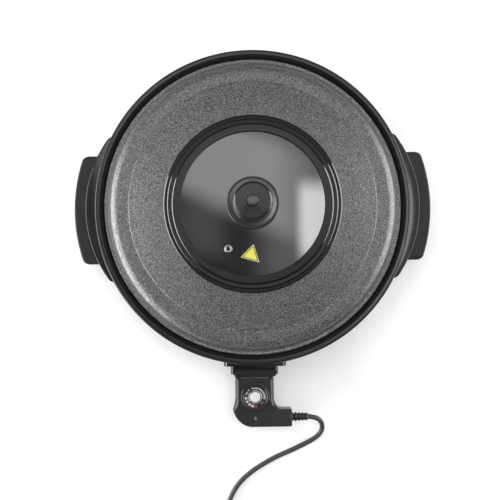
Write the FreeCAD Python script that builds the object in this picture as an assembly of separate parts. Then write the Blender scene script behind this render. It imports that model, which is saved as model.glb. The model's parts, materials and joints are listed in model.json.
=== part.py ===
import FreeCAD, Part
import math
import os

# Round electric party pan: a cast pan on two side handles with legs, a domed lid
# with a glass window, and a plug-in probe thermostat with its mains lead.
#
# Frame: +X right, +Y back, +Z up, z = 0 is the surface that the feet stand on.
# The lead is given in this frame. Everything else is built about the pan's own
# axis and moved back by AXIS_Y, so that the origin is under the middle of the
# appliance (pan, handles and thermostat together).

V = FreeCAD.Vector

# ---------------------------------------------------------------- driving sizes
RIM_R = 210.0            # outside of the rolled rim
RIM_TOP = 90.0           # top of the rim above the table
FLOOR_Z = 30.0           # underside of the pan's floor
FLOOR_T = 3.0            # thickness of the pan's floor
LEDGE_Z = 84.0           # ledge inside the rim that carries the lid
LEDGE_R = 193.5          # inner edge of that ledge
RIM_IN_R = 200.2         # inside of the rim, above the ledge

LID_R = 196.0            # outer edge of the lid
LID_GAP = 0.3            # lid edge above the ledge
SHEET_T = 1.2            # lid sheet thickness
GLASS_R = 98.0           # glass disc
GLASS_T = 4.0
GLASS_TOP = 131.0        # top of the glass at its centre
GLASS_SAG = 3.5          # how much lower its edge is
FRAME_OUT = 115.8        # ridged frame round the glass
FRAME_IN = 93.5
VENT_XY = (-32.4, -58.2)
VENT_HOLE_R = 2.0
LABEL_XY = ((0.1, -52.6), (-16.9, -69.4), (7.5, -76.5))

KNOB_SKIRT_R = 34.0
KNOB_GRIP_R = 24.5
KNOB_TOP = 180.0         # highest point of the whole appliance

LEG_OUT_X = 224.6        # outside of the leg moulding, at its middle
LEG_ARC_R = 161.0        # plan radius of that outside
LEG_IN_R = 198.8         # plan radius of its inside, about the pan's axis
LEG_HALF_DEG = 28.0      # half angle that a leg moulding covers
LEG_TOP = 74.0
LEG_BOTTOM = 8.0
LEG_WALL = 3.5
GRIP_OUT_X = 240.7       # outside of the grip, at its middle
GRIP_ARC_R = 217.0
GRIP_HALF = 73.0         # half length of the grip
GRIP_Z = (46.0, 64.0)
FOOT_R = 8.0
FOOT_DEG = 22.0          # place of the feet round the pan, from the X axis
FOOT_RING_R = 207.5
LEG_SCREW_Z = 62.0
GRIP_SCREW_Y = 35.0

TERMINAL_Z = 26.0        # height of the element's ends, the pins and the probe
TERMINAL_X = 13.0
ELEMENT_R = 4.0
ELEMENT_RING_R = 118.0
ELEMENT_BEND_R = 16.0
PIN_R = 3.0
PROBE_R = 3.2
RUNNING = 0.06           # radial play of a running fit

GUARD_X = (-32.8, 31.3)   # guard round the terminals
GUARD_Z = (4.5, 47.5)
GUARD_FRONT = -225.5
GUARD_WALL = 2.2
FLANGE_HALF = 42.0
FLANGE_Z = (8.0, 66.0)
FLANGE_Y = (-213.0, -199.0)

NOSE_HALF = 29.0         # part of the thermostat that goes into the guard
NOSE_Z = (7.2, 44.8)
NOSE_Y = (-227.5, -202.0)
HOUSING_LEFT = 27.0
HOUSING_RIGHT = 25.2
HOUSING_Z = (8.0, 44.0)
HOUSING_FRONT = -296.5
HOUSING_WALL = 2.2
FOOT_END_X = 49.5        # end of the housing's sideways foot
FOOT_BACK_Y = -272.6

DIAL_Y = -255.4
DIAL_R = 19.7
SHAFT_R = 3.0
RELIEF_Y = -285.0
RELIEF_END_X = 72.0

AXIS_Y = (-HOUSING_FRONT - RIM_R) / 2.0

# Mains lead: a round three-core cord.
CORD_R = 3.4
COIL_C = (-11.0, -420.0)
COIL_MID_R = 36.6        # middle of the turns
COIL_TOP = 12.7          # two layers of turns
PLUG_Y = -461.0
PLUG_Z = 18.6
PLUG_TAIL_X = 42.0
PLUG_FACE_X = 99.0
PLUG_PIN_R = 2.4
PLUG_PIN_LENGTH = 19.0
PLUG_PIN_HALF = 9.5

# The lead from the strain relief to the coil, and from the coil to the plug.
LEAD_ROUTE = [
    (72.0, -241.75, 26.0),
    (82.5, -242.8, 24.6),
    (90.5, -249.0, 19.0),
    (93.0, -259.5, 12.5),
    (88.0, -269.0, 7.2),
    (78.5, -276.3, 4.2),
    (65.5, -282.9, 3.5),
    (48.0, -290.9, 3.5),
    (29.0, -298.5, 3.5),
    (11.0, -308.0, 3.5),
    (-6.0, -318.5, 3.5),
    (-20.5, -330.5, 3.5),
    (-31.0, -344.0, 3.5),
    (-38.0, -359.0, 3.5),
    (-43.5, -375.0, 3.5),
    (-48.5, -391.5, 3.5),
    (-52.5, -408.0, 3.5),
]
TAIL_ROUTE = [
    (-11.0, -460.0, 9.4),
    (3.0, -460.6, 11.5),
    (16.0, -461.3, 14.6),
    (29.0, -461.4, 17.4),
    (42.0, -461.0, 18.6),
]


# ---------------------------------------------------------------- helpers
def outline(start, steps):
    """Closed face in the XZ plane. A step is (x, z), or ((x, z), (x, z)) for an arc."""
    edges = []
    here = V(start[0], 0, start[1])
    for step in steps:
        if isinstance(step[0], tuple):
            middle = V(step[0][0], 0, step[0][1])
            there = V(step[1][0], 0, step[1][1])
            edges.append(Part.Arc(here, middle, there).toShape())
        else:
            there = V(step[0], 0, step[1])
            edges.append(Part.LineSegment(here, there).toShape())
        here = there
    first = V(start[0], 0, start[1])
    if here.distanceToPoint(first) > 1e-6:
        edges.append(Part.LineSegment(here, first).toShape())
    return Part.Face(Part.Wire(edges))


def turned(start, steps):
    """Solid of revolution about Z of such an outline."""
    solid = outline(start, steps).revolve(V(0, 0, 0), V(0, 0, 1), 360)
    return Part.Solid(solid) if solid.ShapeType != "Solid" else solid


def block(x, y, z):
    """Box from three (low, high) pairs."""
    return Part.makeBox(x[1] - x[0], y[1] - y[0], z[1] - z[0], V(x[0], y[0], z[0]))


def rod(radius, start, end):
    """Round bar between two points."""
    axis = V(*end) - V(*start)
    return Part.makeCylinder(radius, axis.Length, V(*start), axis)


def ring(r_in, r_out, z_low, z_high, centre=(0.0, 0.0)):
    """Upright flat ring."""
    base = V(centre[0], centre[1], z_low)
    outer = Part.makeCylinder(r_out, z_high - z_low, base)
    return outer.cut(Part.makeCylinder(r_in, z_high - z_low, base))


def rounded(shape, radius, wanted):
    """Shape with the edges that wanted() accepts rounded."""
    edges = [edge for edge in shape.Edges if wanted(edge)]
    return shape.makeFillet(radius, edges)


def upright(edge):
    """Whether an edge runs along Z."""
    box = edge.BoundBox
    return box.ZLength > 1.0 and box.XLength < 1e-3 and box.YLength < 1e-3


def level_at(z):
    """Test for edges that lie at height z."""
    def test(edge):
        box = edge.BoundBox
        return abs(box.ZMin - z) < 1e-3 and abs(box.ZMax - z) < 1e-3
    return test


def both(shape):
    """A right-hand piece and its left-hand twin, mirrored in the YZ plane."""
    return shape, shape.mirror(V(0, 0, 0), V(1, 0, 0))


def group(shapes):
    """Several separate solids in one node."""
    return Part.makeCompound([solid for shape in shapes for solid in shape.Solids])


def on_ring(radius, degrees, z):
    """Point at a radius and angle about the pan's axis."""
    angle = math.radians(degrees)
    return (radius * math.cos(angle), radius * math.sin(angle), z)


def lay_tube(route, name):
    """Round tube along straight runs joined by tangent arcs, and its arcs' radii."""
    points = [V(*point) for point in route]
    edges = []
    radii = []
    here = points[0]
    for before, corner, after in zip(points, points[1:], points[2:]):
        run_in = (corner - before).normalize()
        run_out = (after - corner).normalize()
        half_turn = run_in.getAngle(run_out) / 2.0
        shorter = min((corner - before).Length, (after - corner).Length)
        trim = 0.45 * shorter
        radius = trim / math.tan(half_turn)
        start = corner - run_in * trim
        end = corner + run_out * trim
        inward = (run_out - run_in).normalize()
        middle = corner + inward * (radius / math.cos(half_turn) - radius)
        edges.append(Part.LineSegment(here, start).toShape())
        edges.append(Part.Arc(start, middle, end).toShape())
        radii.append(radius)
        here = end
    edges.append(Part.LineSegment(here, points[-1]).toShape())
    path = Part.Wire(edges)
    direction = points[1] - points[0]
    section = Part.Wire([Part.Circle(points[0], direction, CORD_R).toShape()])
    tube = path.makePipeShell([section], True, True)
    ideal = math.pi * CORD_R ** 2 * path.Length
    print(name, "arc radii", [round(radius, 1) for radius in radii])
    print(name, "length", round(path.Length, 1), "volume / ideal", round(tube.Volume / ideal, 4))
    return tube


def save(name, shape, about_pan=True):
    """Write one node, moved from the pan's axis to the row's frame if it is built there."""
    piece = shape.copy()
    if about_pan:
        piece.translate(V(0, AXIS_Y, 0))
    if not piece.isValid():
        print("NOT VALID", name)
    print(f"{name:20s} solids {len(piece.Solids)}  volume {piece.Volume / 1000.0:9.2f} cm3")
    piece.exportStep("parts/" + name + ".step")


# ---------------------------------------------------------------- pan
FLOOR_TOP = FLOOR_Z + FLOOR_T
BEAD_R = (RIM_TOP - 81.0) / 2.0


def pan_cavity():
    """Space inside the pan, up past the rim."""
    return turned((0, FLOOR_TOP), [
        (173.0, FLOOR_TOP),
        ((181.6, 35.5), (185.5, 42.0)),
        (LEDGE_R, LEDGE_Z),
        (LEDGE_R, RIM_TOP + 5.0),
        (0, RIM_TOP + 5.0),
    ])


def pan_body():
    """Cast pan: flat floor, flared wall, lid ledge, rolled rim and screw bosses."""
    bead_x = RIM_R - BEAD_R
    pan = turned((0, FLOOR_Z), [
        (175.0, FLOOR_Z),
        ((184.4, 33.3), (188.5, 41.0)),
        (196.0, 79.0),
        (197.5, RIM_TOP - 2 * BEAD_R),
        (bead_x, RIM_TOP - 2 * BEAD_R),
        ((RIM_R, RIM_TOP - BEAD_R), (bead_x, RIM_TOP)),
        (RIM_IN_R + 2.0, RIM_TOP),
        ((RIM_IN_R + 0.6, RIM_TOP - 0.6), (RIM_IN_R, RIM_TOP - 2.0)),
        (RIM_IN_R, LEDGE_Z),
        (0, LEDGE_Z),
    ])
    for place in LEG_SCREW_DEG:
        boss = rod(7.0, on_ring(180.0, place, LEG_SCREW_Z), on_ring(LEG_IN_R - 0.2, place, LEG_SCREW_Z))
        pan = pan.fuse(boss)
    for side in (-1, 1):
        pan = pan.fuse(rod(5.5, (side * FLANGE_SCREW_X, -180.0, FLANGE_SCREW_Z),
                           (side * FLANGE_SCREW_X, FLANGE_Y[1], FLANGE_SCREW_Z)))
    pan = pan.cut(pan_cavity())
    return pan.cut(leg_screws()).cut(guard_screws()).removeSplitter()


# ---------------------------------------------------------------- handles and legs
LEG_SCREW_DEG = (-22.0, 22.0, 158.0, 202.0)
LEG_SCREW_HEAD_R = 4.5
FLANGE_SCREW_X = 36.5
FLANGE_SCREW_Z = 57.0


def leg_screws():
    """Four screws that hold the leg mouldings to the pan's bosses."""
    screws = []
    for place in LEG_SCREW_DEG:
        shank = rod(2.5, on_ring(192.0, place, LEG_SCREW_Z), on_ring(212.0, place, LEG_SCREW_Z))
        head = rod(LEG_SCREW_HEAD_R, on_ring(211.0, place, LEG_SCREW_Z), on_ring(214.0, place, LEG_SCREW_Z))
        screws.append(shank.fuse(head))
    return group(screws)


def arc_prism(radius, centre_x, z_low, z_high):
    """Upright cylinder centred on the X axis."""
    return Part.makeCylinder(radius, z_high - z_low, V(centre_x, 0, z_low))


def wedge(half_degrees, z_low, z_high):
    """Upright wedge about the pan's axis, open towards +X."""
    reach = 400.0
    angle = math.radians(half_degrees)
    corner = (reach, reach * math.tan(angle))
    points = [V(0, 0, z_low), V(corner[0], -corner[1], z_low), V(corner[0], corner[1], z_low), V(0, 0, z_low)]
    return Part.Face(Part.makePolygon(points)).extrude(V(0, 0, z_high - z_low))


def leg_moulding():
    """Right-hand leg moulding: a crescent round the pan, hollow in its middle, on two legs."""
    centre_x = LEG_OUT_X - LEG_ARC_R
    leg = arc_prism(LEG_ARC_R, centre_x, LEG_BOTTOM, LEG_TOP)
    leg = leg.cut(arc_prism(LEG_IN_R, 0.0, LEG_BOTTOM, LEG_TOP))
    leg = leg.common(wedge(LEG_HALF_DEG, LEG_BOTTOM, LEG_TOP))
    leg = rounded(leg, 5.0, lambda edge: upright(edge) and edge.BoundBox.XMin > 185.0)
    leg = rounded(leg, 2.0, level_at(LEG_TOP))
    hollow = arc_prism(LEG_ARC_R - LEG_WALL, centre_x, 0.0, LEG_TOP - LEG_WALL)
    hollow = hollow.cut(arc_prism(LEG_IN_R + LEG_WALL, 0.0, 0.0, LEG_TOP))
    leg = leg.cut(hollow.common(wedge(LEG_HALF_DEG - 11.0, 0.0, LEG_TOP)))
    arch = wedge(LEG_HALF_DEG - 10.0, 0.0, 30.0).common(arc_prism(240.0, 0.0, 0.0, 30.0))
    leg = leg.cut(arch)
    for place in LEG_SCREW_DEG[:2]:
        well = rod(LEG_SCREW_HEAD_R + 0.4, on_ring(211.0, place, LEG_SCREW_Z), on_ring(230.0, place, LEG_SCREW_Z))
        leg = leg.cut(well)
    for place in (-FOOT_DEG, FOOT_DEG):
        leg = leg.cut(rod(4.0, on_ring(FOOT_RING_R, place, LEG_BOTTOM), on_ring(FOOT_RING_R, place, 15.0)))
    return leg.cut(leg_screws()).cut(group(grip_screws()))


def grip():
    """Right-hand grip: a rounded bar outside the leg moulding."""
    low, high = GRIP_Z
    bar = arc_prism(GRIP_ARC_R, GRIP_OUT_X - GRIP_ARC_R, low, high)
    bar = bar.common(block((150.0, 260.0), (-GRIP_HALF, GRIP_HALF), (low, high)))
    bar = rounded(bar, 6.0, lambda edge: upright(edge) and edge.BoundBox.XMin > 200.0)
    bar = rounded(bar, 3.0, lambda edge: edge.BoundBox.ZLength < 1e-3 and edge.BoundBox.XMax > 200.0)
    bar = bar.cut(arc_prism(LEG_ARC_R, LEG_OUT_X - LEG_ARC_R, low, high))
    return bar.cut(group(grip_screws()))


def grip_screws():
    """Two screws from inside the leg moulding into the right-hand grip."""
    screws = []
    middle_z = sum(GRIP_Z) / 2.0
    for y in (-GRIP_SCREW_Y, GRIP_SCREW_Y):
        wall_x = LEG_OUT_X - LEG_ARC_R + math.sqrt((LEG_ARC_R - LEG_WALL) ** 2 - GRIP_SCREW_Y ** 2)
        shank = rod(1.8, (wall_x - 1.5, y, middle_z), (wall_x + 11.0, y, middle_z))
        head = rod(3.5, (wall_x - 3.2, y, middle_z), (wall_x - 1.0, y, middle_z))
        screws.append(shank.fuse(head))
    return screws


def foot(degrees):
    """Rubber foot with its stem in the leg."""
    x, y, _ = on_ring(FOOT_RING_R, degrees, 0.0)
    pad = Part.makeCone(FOOT_R - 1.0, FOOT_R, 3.0, V(x, y, 0))
    pad = pad.fuse(Part.makeCylinder(FOOT_R, LEG_BOTTOM - 3.0, V(x, y, 3.0)))
    return pad.fuse(Part.makeCylinder(4.0, 6.0, V(x, y, LEG_BOTTOM))).removeSplitter()


# ---------------------------------------------------------------- heating element and socket
def heating_element():
    """Sheathed element: a ring under the floor whose two ends come forward to the socket."""
    bend_x = TERMINAL_X + ELEMENT_BEND_R
    bend_y = -math.sqrt((ELEMENT_RING_R + ELEMENT_BEND_R) ** 2 - bend_x ** 2)
    share = ELEMENT_RING_R / (ELEMENT_RING_R + ELEMENT_BEND_R)
    join = V(bend_x * share, bend_y * share, TERMINAL_Z)
    turn = (math.pi + math.atan2(join.y - bend_y, join.x - bend_x)) / 2.0
    middle = V(bend_x + ELEMENT_BEND_R * math.cos(turn), bend_y + ELEMENT_BEND_R * math.sin(turn), TERMINAL_Z)
    bend = V(TERMINAL_X, bend_y, TERMINAL_Z)
    end = V(TERMINAL_X, ELEMENT_END_Y, TERMINAL_Z)

    def left(point):
        return V(-point.x, point.y, point.z)

    path = Part.Wire([
        Part.LineSegment(end, bend).toShape(),
        Part.Arc(bend, middle, join).toShape(),
        Part.Arc(join, V(0, ELEMENT_RING_R, TERMINAL_Z), left(join)).toShape(),
        Part.Arc(left(join), left(middle), left(bend)).toShape(),
        Part.LineSegment(left(bend), left(end)).toShape(),
    ])
    section = Part.Wire([Part.Circle(end, V(0, 1, 0), ELEMENT_R).toShape()])
    return path.makePipeShell([section], True, True)


ELEMENT_END_Y = -188.0
PLATE_Y = (-199.0, -197.5)
PIN_END_Y = -219.0


def terminal_pins():
    """Two steel contact pins on the element's ends."""
    return group([rod(PIN_R, (side * TERMINAL_X, ELEMENT_END_Y, TERMINAL_Z),
                      (side * TERMINAL_X, PIN_END_Y, TERMINAL_Z)) for side in (-1, 1)])


def terminal_beads():
    """Ceramic beads that insulate the pins from the terminal plate."""
    beads = []
    for side in (-1, 1):
        bead = rod(5.6, (side * TERMINAL_X, PLATE_Y[1] + 4.0, TERMINAL_Z), (side * TERMINAL_X, PLATE_Y[1], TERMINAL_Z))
        neck = rod(4.6, (side * TERMINAL_X, PLATE_Y[1], TERMINAL_Z), (side * TERMINAL_X, PLATE_Y[0] - 0.8, TERMINAL_Z))
        beads.append(bead.fuse(neck).cut(terminal_pins()))
    return group(beads)


def probe_sleeve():
    """Blind tube under the pan's floor that takes the sensing probe."""
    sleeve = rod(4.0, (0, -125.0, TERMINAL_Z), (0, PLATE_Y[1], TERMINAL_Z))
    return sleeve.cut(rod(PROBE_R + RUNNING, (0, -126.5, TERMINAL_Z), (0, PLATE_Y[0], TERMINAL_Z)))


def terminal_plate():
    """Steel plate at the back of the socket, with the beads and the probe's way in."""
    plate = block((-34.0, 34.0), PLATE_Y, (9.0, 46.0))
    plate = rounded(plate, 4.0, lambda edge: edge.BoundBox.YLength > 1.0 and edge.BoundBox.XLength < 1e-3)
    plate = plate.cut(rod(PROBE_R + RUNNING, (0, PLATE_Y[0] - 1, TERMINAL_Z), (0, PLATE_Y[1] + 1, TERMINAL_Z)))
    return plate.cut(terminal_beads()).cut(terminal_pins())


def earth_blade():
    """Earth contact blade beside the pins."""
    return block((21.5, 23.0), (-214.0, PLATE_Y[0]), (20.0, 32.0))


def guard_screws():
    """Two screws that hold the socket guard to the pan's bosses."""
    screws = []
    for side in (-1, 1):
        x = side * FLANGE_SCREW_X
        shank = rod(2.0, (x, -193.0, FLANGE_SCREW_Z), (x, FLANGE_Y[0] + 1.0, FLANGE_SCREW_Z))
        head = rod(3.8, (x, FLANGE_Y[0] + 1.5, FLANGE_SCREW_Z), (x, FLANGE_Y[0] - 1.0, FLANGE_SCREW_Z))
        screws.append(shank.fuse(head))
    return group(screws)


def socket_guard():
    """Moulded guard: a flange across the front of the pan and a mouth round the terminals."""
    flange = block((-FLANGE_HALF, FLANGE_HALF), FLANGE_Y, FLANGE_Z)
    flange = rounded(flange, 6.0, lambda edge: edge.BoundBox.YLength > 1.0 and edge.BoundBox.XLength < 1e-3)
    back = block((-FLANGE_HALF + 3.0, FLANGE_HALF - 3.0), (FLANGE_Y[0] + 4.0, FLANGE_Y[1]),
                 (FLANGE_Z[0] + 3.0, FLANGE_Z[1] - 3.0))
    flange = flange.cut(back)
    for side in (-1, 1):
        flange = flange.fuse(rod(5.0, (side * FLANGE_SCREW_X, FLANGE_Y[1], FLANGE_SCREW_Z),
                                 (side * FLANGE_SCREW_X, FLANGE_Y[0] + 2.0, FLANGE_SCREW_Z)))
    mouth = block(GUARD_X, (GUARD_FRONT, FLANGE_Y[1]), GUARD_Z)
    mouth = rounded(mouth, 5.0, lambda edge: edge.BoundBox.YLength > 1.0 and edge.BoundBox.XLength < 1e-3)
    inside = block((GUARD_X[0] + GUARD_WALL, GUARD_X[1] - GUARD_WALL), (GUARD_FRONT - 1.0, FLANGE_Y[1]),
                   (GUARD_Z[0] + GUARD_WALL, GUARD_Z[1] - GUARD_WALL))
    inside = rounded(inside, 2.8, lambda edge: edge.BoundBox.YLength > 1.0 and edge.BoundBox.XLength < 1e-3)
    return flange.fuse(mouth).cut(inside).cut(guard_screws()).removeSplitter()


# ---------------------------------------------------------------- lid
def lid_line():
    """Outside of the lid sheet, from its edge to the window."""
    return [
        (192.4, 87.4), (191.0, 89.0), (190.2, 92.0), (188.9, 95.6), (186.6, 99.0), (182.0, 102.0),
        (175.5, 103.9), (165.0, 105.6), (162.6, 106.9), (152.0, 110.9), (138.0, 115.6),
        (124.0, 119.9), (112.0, 123.3), (104.0, 125.2),
    ]


def lid_shell():
    """Domed lid sheet with a rolled edge and a hole for the window."""
    outside = lid_line()
    inside = []
    for index, (r, z) in enumerate(outside):
        ahead = outside[min(index + 1, len(outside) - 1)]
        behind = outside[max(index - 1, 0)]
        along = math.hypot(ahead[0] - behind[0], ahead[1] - behind[1])
        inside.append((r + (behind[1] - ahead[1]) / along * SHEET_T, z + (ahead[0] - behind[0]) / along * SHEET_T))
    inside.reverse()
    edge_low = LEDGE_Z + LID_GAP
    edge_mid = (edge_low + 87.3) / 2.0
    return turned((194.4, edge_low), [((LID_R, edge_mid), (194.4, 87.3))] + outside + inside)


def lid_glass():
    """Slightly domed glass window with holes for the knob's screw and the vent."""
    top = GLASS_TOP
    edge = GLASS_TOP - GLASS_SAG
    half = GLASS_TOP - GLASS_SAG / 4.0
    glass = turned((0, top - GLASS_T), [
        ((GLASS_R / 2, half - GLASS_T), (GLASS_R, edge - GLASS_T)),
        (GLASS_R, edge),
        ((GLASS_R / 2, half), (0, top)),
    ])
    glass = glass.cut(Part.makeCylinder(KNOB_SCREW_R, 40.0, V(0, 0, 110.0)))
    return glass.cut(Part.makeCylinder(VENT_SHANK_R, 40.0, V(VENT_XY[0], VENT_XY[1], 110.0)))


KNOB_SCREW_R = 2.5
VENT_SHANK_R = 3.6
CLAMP_SCREW_RING_R = 101.0


def clamp_screws():
    """Six small screws that clamp the two halves of the window's frame."""
    screws = []
    for number in range(6):
        x, y, _ = on_ring(CLAMP_SCREW_RING_R, 60.0 * number + 30.0, 0.0)
        shank = Part.makeCylinder(1.2, 9.0, V(x, y, 118.0))
        head = Part.makeCylinder(2.4, 1.6, V(x, y, 116.9))
        screws.append(shank.fuse(head))
    return group(screws)


def glass_frame():
    """Ridged ring on top of the lid that holds the glass, with its web through the lid."""
    frame = turned((FRAME_IN, 127.0), [
        (FRAME_IN, 129.2),
        (94.8, 130.6), (97.6, 130.9), (98.4, 129.7), (99.6, 129.7), (100.4, 130.9), (103.2, 130.7),
        (104.0, 129.3), (105.2, 129.1), (106.0, 130.0), (108.6, 129.2), (109.4, 127.7), (110.4, 127.3),
        (111.2, 127.9), (113.4, 126.6), (FRAME_OUT, 124.2),
        (FRAME_OUT, 120.4), (104.2, 120.4), (104.2, 120.2), (GLASS_R, 120.2), (GLASS_R, 127.0),
    ])
    frame = frame.cut(below_lid()).cut(lid_shell()).cut(lid_glass())
    return frame.cut(clamp_screws()).removeSplitter()


def below_lid():
    """Space from the lid sheet's outside downwards, outside the window's hole."""
    edge = [(r, z) for r, z in lid_line() if r < 140.0]
    return turned((edge[0][0], 100.0), edge + [(104.0, 100.0)])


def glass_clamp():
    """Ring under the lid that pulls the frame down on the glass and the sheet."""
    clamp = turned((92.0, 118.5), [(112.5, 118.5), (112.5, 121.2), (104.0, 124.0), (GLASS_R, 123.6), (92.0, 123.9)])
    clamp = clamp.cut(lid_shell()).cut(lid_glass()).cut(glass_frame())
    clamp = clamp.cut(clamp_screws())
    solids = sorted(clamp.Solids, key=lambda solid: solid.Volume)
    return solids[-1]


def knob_skirt():
    """Wide foot of the knob, against the glass."""
    skirt = turned((0, 128.0), [
        (KNOB_SKIRT_R - 0.8, 128.0),
        (KNOB_SKIRT_R, 132.0),
        (KNOB_SKIRT_R, 135.5),
        ((KNOB_SKIRT_R - 0.9, 137.9), (KNOB_SKIRT_R - 3.0, 139.0)),
        (26.0, 140.2), (22.0, 141.5), (0, 141.5),
    ])
    return skirt.cut(lid_glass()).cut(knob_screw()).Solids[0]


def knob_grip():
    """Mushroom of the knob."""
    grip_top = 174.0
    shape = turned((0, 141.5), [
        (15.0, 141.5), (14.4, 148.0),
        ((16.6, 154.2), (22.0, 158.4)),
        ((24.2, 160.4), (KNOB_GRIP_R, 164.0)),
        ((23.4, 168.2), (19.5, 170.6)),
        ((11.0, 173.2), (0, grip_top)),
    ])
    shape = shape.cut(Part.makeCylinder(7.4, 20.0, V(0, 0, 172.0)))
    return shape.cut(knob_screw())


def knob_cap():
    """Small raised cap in the middle of the knob."""
    return turned((0, 172.0), [
        (7.4, 172.0), (7.4, 176.6),
        ((6.9, 178.9), (5.8, KNOB_TOP)),
        ((5.0, 179.5), (4.4, 178.6)),
        (0, 178.6),
    ])


def knob_screw():
    """Screw from under the glass into the knob."""
    return Part.makeCylinder(KNOB_SCREW_R, 30.0, V(0, 0, 122.0)).fuse(Part.makeCylinder(4.8, 2.8, V(0, 0, 122.4)))


def knob_washer():
    """Washer under the glass."""
    washer = Part.makeCylinder(12.0, 2.6, V(0, 0, 125.2))
    return washer.cut(lid_glass()).cut(knob_screw()).Solids[0]


def vent_grommet():
    """Steel eyelet of the steam vent."""
    x, y = VENT_XY
    eyelet = Part.makeCylinder(5.3, 2.4, V(x, y, 128.4))
    eyelet = eyelet.fuse(Part.makeCylinder(VENT_SHANK_R, 8.0, V(x, y, 122.8)))
    eyelet = eyelet.fuse(Part.makeCylinder(5.3, 3.4, V(x, y, 123.4)))
    eyelet = eyelet.cut(lid_glass())
    whole = sorted(eyelet.Solids, key=lambda solid: solid.Volume)[-1]
    return whole.cut(Part.makeCylinder(VENT_HOLE_R, 40.0, V(x, y, 110.0)))


def warning_label():
    """Plain three-cornered label on the glass."""
    corners = [V(x, y, 120.0) for x, y in LABEL_XY]
    prism = Part.Face(Part.makePolygon(corners + corners[:1])).extrude(V(0, 0, 20.0))
    raised = lid_glass()
    raised.translate(V(0, 0, 0.3))
    return raised.common(prism).cut(lid_glass()).Solids[0]


# ---------------------------------------------------------------- thermostat
HOUSING_BACK = NOSE_Y[0] + 1.5    # the body runs this far into the nose
def housing_plan(inset, z_low, z_high):
    """The housing's outline pulled in by inset, as a prism: a body with a foot to the right."""
    left = -HOUSING_LEFT + inset
    right = HOUSING_RIGHT - inset
    front = HOUSING_FRONT + inset
    end = FOOT_END_X - inset
    back = FOOT_BACK_Y - inset
    bulge = 30.4 - inset
    points = [
        ("line", (left, -263.0)),
        ("arc", (left - 0.9, -269.0), (-bulge, -275.6)),
        ("arc", (-bulge + 7.2, -289.4), (-6.0, front)),
        ("line", (end - 2.0, front)),
        ("arc", (end - 0.6, front + 0.6), (end, front + 2.0)),
        ("line", (end, back - 2.0)),
        ("arc", (end - 0.6, back - 0.6), (end - 2.0, back)),
        ("line", (36.0, back)),
        ("arc", (right + 3.4, back + 4.0), (right, -261.0)),
        ("line", (right, HOUSING_BACK)),
    ]
    here = V(left, HOUSING_BACK, z_low)
    first = here
    edges = []
    for kind, *stops in points:
        stops = [V(x, y, z_low) for x, y in stops]
        if kind == "line":
            edges.append(Part.LineSegment(here, stops[0]).toShape())
        else:
            edges.append(Part.Arc(here, stops[0], stops[1]).toShape())
        here = stops[-1]
    edges.append(Part.LineSegment(here, first).toShape())
    return Part.Face(Part.Wire(edges)).extrude(V(0, 0, z_high - z_low))


def housing():
    """Whole housing, hollow, before it is parted into its two halves."""
    low, high = HOUSING_Z
    shell = housing_plan(0.0, low, high)
    shell = rounded(shell, 2.4, lambda edge: level_at(high)(edge) and edge.BoundBox.YMin < HOUSING_BACK - 1.0)
    shell = rounded(shell, 1.6, lambda edge: level_at(low)(edge) and edge.BoundBox.YMin < HOUSING_BACK - 1.0)
    nose = block((-NOSE_HALF, NOSE_HALF), NOSE_Y, NOSE_Z)
    nose = rounded(nose, 2.6, lambda edge: edge.BoundBox.YLength > 1.0 and edge.BoundBox.XLength < 1e-3)
    shell = shell.fuse(nose)
    shell = shell.cut(housing_plan(HOUSING_WALL, low + HOUSING_WALL, high - HOUSING_WALL))
    wall = HOUSING_WALL
    shell = shell.cut(block((-NOSE_HALF + wall + 3.4, NOSE_HALF - wall - 3.4), (NOSE_Y[0] - 3.0, NOSE_Y[1] - 2.0),
                            (low + wall, high - wall)))
    for side in (-1, 1):
        shell = shell.cut(rod(5.2, (side * TERMINAL_X, -205.0, TERMINAL_Z), (side * TERMINAL_X, -200.0, TERMINAL_Z)))
    shell = shell.cut(rod(PROBE_R, (0, -205.0, TERMINAL_Z), (0, -200.0, TERMINAL_Z)))
    shell = shell.fuse(screw_posts())
    shell = shell.cut(block((20.6, 23.9), (-217.0, -200.0), (18.5, 33.5)))
    shell = shell.cut(rod(5.0, (FOOT_END_X - 4.0, RELIEF_Y, TERMINAL_Z), (FOOT_END_X + 2.0, RELIEF_Y, TERMINAL_Z)))
    return shell.removeSplitter()


HOUSING_SCREW_XY = ((-20.2, -236.0), (20.2, -236.0), (40.0, -289.4))


def housing_half(upper):
    """Upper or lower half of the housing."""
    whole = housing()
    if upper:
        half = whole.common(block((-60, 60), (-310, -190), (TERMINAL_Z, 60.0)))
        recess = Part.makeCylinder(DIAL_R + 0.5, 3.0, V(0, DIAL_Y, HOUSING_Z[1] - 1.2))
        bore = Part.makeCylinder(SHAFT_R + RUNNING, 10.0, V(0, DIAL_Y, HOUSING_Z[1] - 5.0))
        half = half.cut(recess).cut(bore)
    else:
        half = whole.common(block((-60, 60), (-310, -190), (0.0, TERMINAL_Z)))
    half = half.cut(housing_screws())
    return sorted(half.Solids, key=lambda solid: solid.Volume)[-1]


def housing_screws():
    """Three screws from below through both halves."""
    screws = []
    for x, y in HOUSING_SCREW_XY:
        shank = Part.makeCylinder(1.5, 28.5, V(x, y, 10.5))
        head = Part.makeCylinder(3.0, 3.0, V(x, y, HOUSING_Z[0] + 0.4))
        screws.append(shank.fuse(head))
    return group(screws)


def screw_posts():
    """Posts inside the housing round its screws."""
    posts = []
    for x, y in HOUSING_SCREW_XY:
        post = Part.makeCylinder(3.3, HOUSING_Z[1] - HOUSING_Z[0] - 2 * HOUSING_WALL,
                                 V(x, y, HOUSING_Z[0] + HOUSING_WALL))
        posts.append(post)
    return group(posts)


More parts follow.
